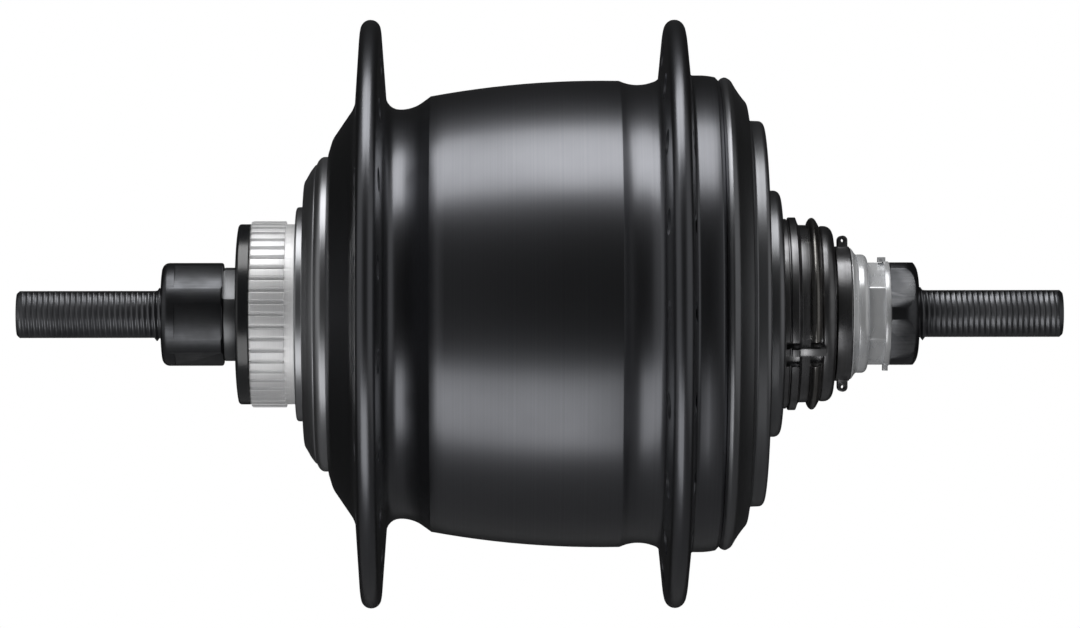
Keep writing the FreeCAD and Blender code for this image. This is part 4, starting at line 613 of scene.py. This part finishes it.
@dataclass
class AxleAssembly:
    """Fixed axle with its nuts, cones, washer and rings."""

    shop: Shop
    end: float = 93.5
    thread_start: float = 66.0
    crest: float = 4.7625
    pitch: float = 0.977
    thread_depth: float = 0.5
    thread_steps: int = 48
    flat_height: float = 4.2
    flat_start: float = 68.7
    end_chamfer: float = 1.0
    mill_depth: float = 8.0
    window_start: float = 52.6
    window_length: float = 2.7
    window_reach: float = 9.0
    window_angle: float = -105.0
    window_turn: float = 184.0
    window_steps: int = 48
    nut_radius: float = 9.2
    nut_flat: float = 8.6
    hexagon: list[float] = field(default_factory=lambda: [60.0 * side for side in range(6)])

    def build(self) -> None:
        """Build every piece on the axle."""
        self.build_axle()
        self.build_left_nut()
        self.build_right_nut()
        self.build_left_cone()
        self.build_left_dust_cap()
        self.build_right_cone()
        self.build_retaining_ring()
        self.build_stop_nut()
        self.build_washer()

    def thread(self, side: int) -> bmesh.types.BMesh:
        """Rolled thread on one end of the axle, with its flats and end chamfer.

        Args:
            side: 1 for the drive side and -1 for the brake side.

        Returns:
            The closed threaded end.
        """
        mesh = bmesh.new()
        root = self.crest - self.thread_depth
        start = self.thread_start - self.pitch
        turns = math.ceil((self.end - start) / self.pitch) + 1
        wave = [(0.0, self.crest), (0.12, self.crest), (0.5, root), (0.62, root), (1.0, self.crest)]
        line = [mesh.verts.new(((start + part * self.pitch) * MM, 0.0, radius * MM))
                for part, radius in wave]
        for one, other in zip(line, line[1:]):
            mesh.edges.new((one, other))
        bmesh.ops.spin(mesh, geom=mesh.verts[:] + mesh.edges[:], cent=(0.0, 0.0, 0.0),
                       axis=(1.0, 0.0, 0.0), dvec=(self.pitch / self.thread_steps * MM, 0.0, 0.0),
                       angle=FULL_TURN * turns, steps=self.thread_steps * turns,
                       use_merge=False, use_duplicate=False)
        bmesh.ops.remove_doubles(mesh, verts=mesh.verts[:], dist=MERGE)
        for station, away in ((self.thread_start, -1), (self.end, 1)):
            Shop.slice(mesh, station, away)
        for vert in mesh.verts:
            spot = vert.co / MM
            radius = math.hypot(spot.y, spot.z)
            limit = self.crest - max(0.0, spot.x - self.end + self.end_chamfer)
            if radius > limit:
                spot.yz = spot.yz * (limit / radius)
            if spot.x > self.flat_start:
                spot.z = max(-self.flat_height, min(self.flat_height, spot.z))
            vert.co = spot * MM
        if side < 0:
            bmesh.ops.rotate(mesh, cent=(0.0, 0.0, 0.0), verts=mesh.verts[:],
                             matrix=Matrix.Rotation(math.pi, 3, "Z"))
        bmesh.ops.recalc_face_normals(mesh, faces=mesh.faces[:])
        return mesh

    def build_axle(self) -> None:
        """Axle: CAD middle with its collar and pawl slots between two threaded ends."""
        middle = self.shop.copy_of("axle")
        Shop.slice(middle, self.thread_start, 1)
        Shop.slice(middle, -self.thread_start, -1)
        axle = self.shop.piece("threaded_axle", "axle", middle, self.thread(1), self.thread(-1))
        self.shop.finish(axle)

    def flats(self, turn: float, start: float, end: float, angles: list[float] | None = None,
              height: float | None = None) -> bmesh.types.BMesh:
        """Blocks that mill spanner flats.

        Args:
            turn: Angle of the first flat.
            start: Left end of the flats.
            end: Right end of the flats.
            angles: Steps from the first flat, a hexagon where left out.
            height: Distance of a flat from the axle.

        Returns:
            The cutting blocks.
        """
        low = height or self.nut_flat
        turns = [turn + step for step in (angles or self.hexagon)]
        return self.shop.blocks(turns, (-self.nut_radius, self.nut_radius),
                                (low, low + self.mill_depth), (start, end))

    def build_left_nut(self) -> None:
        """Black lock nut of the brake side with its domed round collar."""
        nut = self.shop.piece("domed_left_nut", "left_lock_nut", self.shop.turned([
            (-67.5, 4.4), (-67.5, self.nut_radius, 1.3), (-56.5, self.nut_radius, 0.4),
            (-56.5, 4.4)]))
        self.shop.cut(nut, self.flats(189.0, -65.1, -56.0))
        self.shop.finish(nut, 0.16, 3)

    def build_right_nut(self) -> None:
        """Black lock nut of the drive side."""
        nut = self.shop.piece("domed_right_nut", "right_lock_nut", self.shop.turned([
            (62.3, 4.4), (62.3, 10.0, 0.2), (67.5, 10.0, 2.8), (67.5, 4.4)], segments=10))
        self.shop.cut(nut, self.flats(30.0, 62.0, 68.0, height=9.15))
        self.shop.finish(nut, 0.14, 3)

    def build_left_cone(self) -> None:
        """Left bearing cone, whose neck with two spanner flats shows beside the nut."""
        cone = self.shop.piece("ground_left_cone", "left_cone", self.shop.turned([
            (-56.5, 4.5), (-56.5, 8.35, 0.4), (-54.2, 8.35), (-54.2, 8.2), (-50.0, 8.2), (-50.0, 9.6),
            (-48.8, 9.6), (-45.6, 6.395), (-42.8, 6.395), (-42.8, 4.5)]))
        self.shop.cut(cone, self.flats(135.0, -57.0, -54.3, [0.0, 180.0], 7.5))
        self.shop.finish(cone, 0.12)

    def build_left_dust_cap(self) -> None:
        """Domed black dust cap that turns its edge over the bearing."""
        cap = self.shop.piece("domed_left_dust_cap", "left_dust_cap", self.shop.turned([
            (-54.0, 8.2), (-54.0, 10.8, 0.0, 0.2), (-53.75, 16.12, 2.1), (-51.6, 16.12, 0.2),
            (-51.6, 8.2)], segments=10))
        self.shop.finish(cap, 0.1)

    def build_right_cone(self) -> None:
        """Right cone with its long tube, its window for the shift ring and its bright end bead."""
        cone = self.shop.piece("beaded_right_cone", "right_cone", self.shop.turned([
            (43.1, 5.85), (43.1, 7.195), (44.7, 7.195), (47.9, 10.4), (49.1, 10.4), (49.1, 8.0),
            (56.5, 8.0), (56.5, 10.45, 0.08), (56.65, 10.6, 0.08), (58.4, 10.6, 0.95), (58.4, 4.76),
            (56.5, 4.76), (56.5, 5.85)]))
        window = bmesh.new()
        start = math.radians(self.window_angle)
        reach = self.window_reach * MM
        station = self.window_start * MM
        hub = window.verts.new((station, 0.0, 0.0))
        tip = window.verts.new((station, reach * math.cos(start), reach * math.sin(start)))
        line = window.edges.new((hub, tip))
        bmesh.ops.spin(window, geom=[hub, tip, line], cent=(0.0, 0.0, 0.0), axis=(1.0, 0.0, 0.0),
                       angle=math.radians(self.window_turn), steps=self.window_steps,
                       use_merge=False, use_duplicate=False)
        bmesh.ops.remove_doubles(window, verts=window.verts[:], dist=MERGE)
        grown = bmesh.ops.extrude_face_region(window, geom=window.faces[:])
        far = [item for item in grown["geom"] if isinstance(item, bmesh.types.BMVert)]
        bmesh.ops.translate(window, verts=far, vec=(self.window_length * MM, 0.0, 0.0))
        self.shop.cut(cone, window)
        self.shop.finish(cone)

    def build_retaining_ring(self) -> None:
        """Bright ring that keeps the shift ring in its place."""
        ring = self.shop.piece("shift_retaining_ring", "retaining_ring", self.shop.turned([
            (55.4, 8.0), (55.4, 11.75, 0.1), (55.6, 11.7, 0.1), (56.3, 10.7, 0.1), (56.5, 10.6),
            (56.5, 8.0)]))
        self.shop.finish(ring)

    def build_stop_nut(self) -> None:
        """Thin zinc plated nut between the cone and the washer."""
        nut = self.shop.piece("thin_stop_nut", "stop_nut", self.shop.turned([
            (58.4, 4.4), (58.4, 9.15, 0.2), (61.4, 9.15, 0.2), (61.4, 4.4)]))
        self.shop.cut(nut, self.flats(0.0, 58.0, 62.0, height=8.0))
        self.shop.finish(nut, 0.12)

    def build_washer(self) -> None:
        """Washer with two tabs that stand out over the nuts."""
        washer = self.shop.piece("tabbed_washer", "lock_washer", self.shop.turned([
            (61.4, 4.4), (61.4, 9.35), (62.3, 9.35), (62.3, 4.4)]))
        for angle, reach, ends in ((90.0, 10.1, (60.45, 61.8)), (270.0, 10.2, (61.3, 62.2))):
            self.shop.cut(washer, self.shop.blocks([angle], (-1.1, 1.1), (9.22, reach), ends), "UNION")
        self.shop.finish(washer, 0.12)


@dataclass
class DriverAssembly:
    """Driver that carries the sprocket, with its dust cap and snap ring."""

    shop: Shop
    joint: float = 39.9
    lug_angle: float = 204.0
    lugs: int = 3
    rib_half: float = 0.68
    pocket_low: float = -2.0
    pocket_high: float = 2.8

    def lug_angles(self) -> list[float]:
        """Angles of the three lug notches."""
        return [self.lug_angle + 360.0 / self.lugs * lug for lug in range(self.lugs)]

    def build(self) -> None:
        """Build the driver and what is pressed on it."""
        self.build_driver()
        self.build_snap_ring()
        self.build_dust_cap()

    def build_driver(self) -> None:
        """Driver: CAD part inside the hub, fine rings, sprocket seat and lug notches outside."""
        inner = self.shop.copy_of("driver")
        Shop.slice(inner, self.joint, 1)
        outer = self.shop.turned([
            (self.joint, 10.4), (self.joint, 17.0), (43.95, 17.0, 0.1), (44.05, 16.6), (44.2, 16.6),
            (44.3, 17.27, 0.12), (45.6, 17.27, 0.12), (45.9, 16.4, 0.1), (46.15, 15.9, 0.1),
            (47.7, 15.87), (47.7, 15.0), (49.8, 15.0), (49.8, 15.45), (50.1, 15.7, 0.12),
            (52.25, 15.72, 1.6), (52.25, 13.605), (44.7, 13.605),
            (42.6, 13.0, 1.0), (41.5, 10.4)])
        driver = self.shop.piece("ringed_driver", "driver", outer)
        for across in ((self.rib_half, self.pocket_high), (self.pocket_low, -self.rib_half)):
            self.shop.cut(driver, self.shop.blocks(self.lug_angles(), across, (14.9, 18.5), (43.3, 45.75)))
            self.shop.cut(driver, self.shop.blocks([self.lug_angle], across, (14.2, 18.5), (47.6, 49.6)))
        rib = self.shop.blocks([self.lug_angle], (-self.rib_half, self.rib_half),
                               (14.0, 16.9), (45.8, 50.3))
        self.shop.cut(driver, rib, "UNION")
        self.shop.finish(driver, 0.1, joined=inner)

    def build_snap_ring(self) -> None:
        """Open ring that keeps the sprocket on its seat."""
        ring = self.shop.piece("sprocket_snap_ring", "snap_ring", self.shop.turned([
            (47.75, 15.0), (47.75, 16.45, 0.1), (48.05, 16.93, 0.15), (48.45, 17.2, 0.3),
            (48.85, 17.15, 0.3), (49.2, 16.8, 0.2), (49.75, 15.8, 0.15), (49.75, 15.0)]))
        self.shop.cut(ring, self.shop.blocks([self.lug_angle], (self.pocket_low, self.pocket_high),
                                             (13.0, 19.0), (47.0, 51.0)))
        self.shop.finish(ring, 0.08)

    def build_dust_cap(self) -> None:
        """Plain black cap pressed on the driver in front of the cover."""
        cap = self.shop.piece("driver_shield", "driver_dust_cap", self.shop.turned([
            (39.8, 17.0), (39.8, 22.05, 0.15), (42.9, 22.05, 1.2), (42.9, 17.0)], segments=8))
        self.shop.finish(cap, 0.08)


@dataclass
class ShiftAssembly:
    """Shift ring on the right cone."""

    shop: Shop
    start: float = 52.6
    length: float = 2.7
    radius: float = 12.05
    lug: tuple[float, float] = (53.2, 54.95)
    lug_tip: float = 13.96
    lug_half: float = 2.0
    eyelet: float = 0.3

    def build(self) -> None:
        """Build the ring with its two rounded lugs and their eyelets."""
        end = self.start + self.length
        ring = self.shop.piece("lugged_shift_ring", "shift_ring", self.shop.turned([
            (self.start, 8.05), (self.start, self.radius, 0.2), (end, self.radius, 0.2), (end, 8.05)]))
        lugs = bmesh.new()
        half = (self.lug[1] - self.lug[0]) / 2.0
        for angle in (90.0, 270.0):
            verts = self.shop.block(lugs, angle, (-self.lug_half, self.lug_half),
                                    (self.radius - 0.8, self.lug_tip), self.lug)
            tips = [vert for vert in verts if abs(vert.co.z) > (self.lug_tip - 0.1) * MM]
            linked = {edge for vert in tips for edge in vert.link_edges if edge.other_vert(vert) in tips}
            edges = [edge for edge in linked if abs(edge.verts[0].co.x - edge.verts[1].co.x) < MERGE]
            bmesh.ops.bevel(lugs, geom=edges, offset=half * 0.98 * MM, offset_type="OFFSET",
                            segments=8, profile=0.5, affect="EDGES", material=-1, clamp_overlap=True)
        self.shop.cut(ring, lugs, "UNION")
        self.shop.cut(ring, self.shop.blocks([270.0], (-1.5, 1.5), (5.72, 8.6), (52.8, 55.1)), "UNION")
        drills = bmesh.new()
        for side in (1.0, -1.0):
            spot = Vector(((self.lug[0] + half), 0.0, side * (self.lug_tip - half))) * MM
            place = Matrix.Translation(spot) @ Matrix.Rotation(math.pi / 2.0, 4, "X")
            bmesh.ops.create_cone(drills, cap_ends=True, segments=20, radius1=self.eyelet * MM,
                                  radius2=self.eyelet * MM, depth=6.0 * MM, matrix=place)
        self.shop.cut(ring, drills)
        self.shop.finish(ring, 0.06)


@dataclass
class Studio:
    """White product studio: overhead soft box, lower card, pale floor, camera."""

    distance: float = 0.98
    lens: float = 182.5
    yaw: float = 0.55
    roll: float = 0.066
    centre: float = 0.0
    height: float = 0.0
    box_radiance: float = 3.3
    card_radiance: float = 1.55
    wall_radiance: float = 0.36
    front_radiance: float = 0.035
    back_radiance: float = 0.015
    wall_end: float = 0.2
    floor_level: float = -0.8
    floor_radius: float = 1.5

    def build(self) -> None:
        """Set up view, world, lamps, floor and camera."""
        bpy.context.scene.view_settings.view_transform = "Standard"
        self.build_world()
        self.build_lamp("overhead_soft_box", -0.03, 79.0, 0.3, (0.3, 0.21), self.box_radiance)
        self.build_lamp("lower_card", -0.1, -46.0, 0.25, (0.28, 0.17), self.card_radiance)
        self.build_floor()
        self.build_camera()

    def build_world(self) -> None:
        """White backdrop for the camera, and a dark room with a pale wall at each side."""
        world = bpy.data.worlds.new("white_studio")
        world.use_nodes = True
        tree = world.node_tree
        tree.nodes.clear()
        way = add_node(tree, "ShaderNodeTexCoord").outputs["Generated"]
        split = add_node(tree, "ShaderNodeSeparateXYZ", {0: way}).outputs
        room = add_node(tree, "ShaderNodeMapRange", {
            "Value": split["Y"], "From Min": -0.35, "From Max": self.wall_end,
            "To Min": self.front_radiance, "To Max": self.back_radiance}).outputs[0]
        aside = add_node(tree, "ShaderNodeMath", {0: split["X"]}, operation="ABSOLUTE").outputs[0]
        wall = add_node(tree, "ShaderNodeMapRange", {
            "Value": aside, "From Min": 0.35, "From Max": 0.6, "To Max": self.wall_radiance}).outputs[0]
        front = add_node(tree, "ShaderNodeMath", {0: split["Y"], 1: self.wall_end},
                         operation="LESS_THAN").outputs[0]
        side = add_node(tree, "ShaderNodeMath", {0: wall, 1: front}, operation="MULTIPLY").outputs[0]
        dark = add_node(tree, "ShaderNodeMath", {0: side, 1: room}, operation="MAXIMUM").outputs[0]
        level = add_node(tree, "ShaderNodeMath", {0: self.seen(tree), 1: dark},
                         operation="MAXIMUM").outputs[0]
        light = add_node(tree, "ShaderNodeBackground", {"Strength": level})
        add_node(tree, "ShaderNodeOutputWorld", {"Surface": light.outputs[0]})
        light.inputs["Color"].default_value = (1.0, 1.0, 1.0, 1.0)
        bpy.context.scene.world = world

    @staticmethod
    def seen(tree: bpy.types.NodeTree) -> bpy.types.NodeSocket:
        """One where the camera sees a surface straight or through glass, otherwise zero."""
        path = add_node(tree, "ShaderNodeLightPath").outputs
        return add_node(tree, "ShaderNodeMath", {0: path["Is Camera Ray"], 1: path["Is Transmission Ray"]},
                        operation="MAXIMUM").outputs[0]

    @staticmethod
    def build_lamp(name: str, shift: float, rise: float, reach: float, size: Row, radiance: float) -> None:
        """Add a rectangular lamp that faces the hub and that only its surfaces see.

        Args:
            name: Name of the lamp.
            shift: Place of its middle along the axle, in metres.
            rise: Angle above the line from the hub to the camera, in degrees.
            reach: Distance from the hub in metres.
            size: Its width and depth in metres.
            radiance: Brightness, where one shows as white.
        """
        data = bpy.data.lights.new(name, "AREA")
        data.shape = "RECTANGLE"
        data.size, data.size_y = size
        data.energy = radiance * math.pi * size[0] * size[1]
        lamp = bpy.data.objects.new(name, data)
        angle = math.radians(rise)
        lamp.location = (shift, -reach * math.cos(angle), reach * math.sin(angle))
        lamp.rotation_euler = (math.pi / 2.0 - angle, 0.0, 0.0)
        lamp.visible_camera = False
        bpy.context.scene.collection.objects.link(lamp)

    def build_floor(self) -> None:
        """Pale round floor under the hub that fades into the white backdrop at its edge."""
        mesh = bmesh.new()
        bmesh.ops.create_circle(mesh, cap_ends=True, segments=96, radius=self.floor_radius)
        bmesh.ops.translate(mesh, verts=mesh.verts[:], vec=(0.0, 0.0, self.floor_level))
        data = bpy.data.meshes.new("pale_floor")
        mesh.to_mesh(data)
        mesh.free()
        floor = bpy.data.objects.new("pale_floor", data)
        bpy.context.scene.collection.objects.link(floor)
        paint = bpy.data.materials.new("white_studio_floor")
        paint.use_nodes = True
        tree = paint.node_tree
        tree.nodes.clear()
        place = add_node(tree, "ShaderNodeTexCoord").outputs["Object"]
        split = add_node(tree, "ShaderNodeSeparateXYZ", {0: place}).outputs
        flat = add_node(tree, "ShaderNodeCombineXYZ", {0: split["X"], 1: split["Y"]}).outputs[0]
        out = add_node(tree, "ShaderNodeVectorMath", {0: flat}, operation="LENGTH").outputs["Value"]
        fade = add_node(tree, "ShaderNodeMapRange", {
            "Value": out, "From Min": 0.15, "From Max": self.floor_radius * 0.95}).outputs[0]
        white = add_node(tree, "ShaderNodeMath", {0: self.seen(tree), 1: fade},
                         operation="MULTIPLY").outputs[0]
        matt = add_node(tree, "ShaderNodeBsdfDiffuse", {"Color": linear("e9e9ea")}).outputs[0]
        glow = add_node(tree, "ShaderNodeEmission", {"Strength": 1.0}).outputs[0]
        mixed = add_node(tree, "ShaderNodeMixShader", {0: white, 1: matt, 2: glow}).outputs[0]
        add_node(tree, "ShaderNodeOutputMaterial", {"Surface": mixed})
        data.materials.append(paint)
        floor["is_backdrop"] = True

    def build_camera(self) -> None:
        """Long lens in front of the hub, turned as in the photograph."""
        data = bpy.data.cameras.new("product_lens")
        data.sensor_width = 36.0
        data.lens = self.lens
        data.clip_end = 20.0
        camera = bpy.data.objects.new("product_camera", data)
        swing = math.radians(self.yaw)
        aim = Vector((self.centre, 0.0, self.height))
        camera.location = aim + Vector((-math.sin(swing), -math.cos(swing), 0.0)) * self.distance
        camera.rotation_euler = (math.pi / 2.0, math.radians(self.roll), -swing)
        bpy.context.scene.collection.objects.link(camera)
        bpy.context.scene.camera = camera


def dress_carried_nodes(shop: Shop) -> None:
    """Give every CAD node that stays in view or inside the hub its finish."""
    for name, node in shop.nodes.items():
        node.material_slots[0].material = shop.materials[shop.slots[name]]
    LOG.info("%d carried nodes dressed", len(shop.nodes) - len(shop.replaced))


def corners() -> list[list[float]]:
    """Lowest and highest corner of what is shown, as plain lists."""
    return [[float(value) for value in corner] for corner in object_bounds()]


def main() -> None:
    """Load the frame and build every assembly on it."""
    logging.basicConfig(level=logging.INFO, format="%(relativeCreated)6.0f ms %(message)s")
    shop = Shop(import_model())
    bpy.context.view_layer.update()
    for assembly in (ShellAssembly(shop), AxleAssembly(shop), DriverAssembly(shop), ShiftAssembly(shop)):
        assembly.build()
        LOG.info("%s built", type(assembly).__name__)
    dress_carried_nodes(shop)
    Studio().build()


if __name__ == "__main__":
    main()
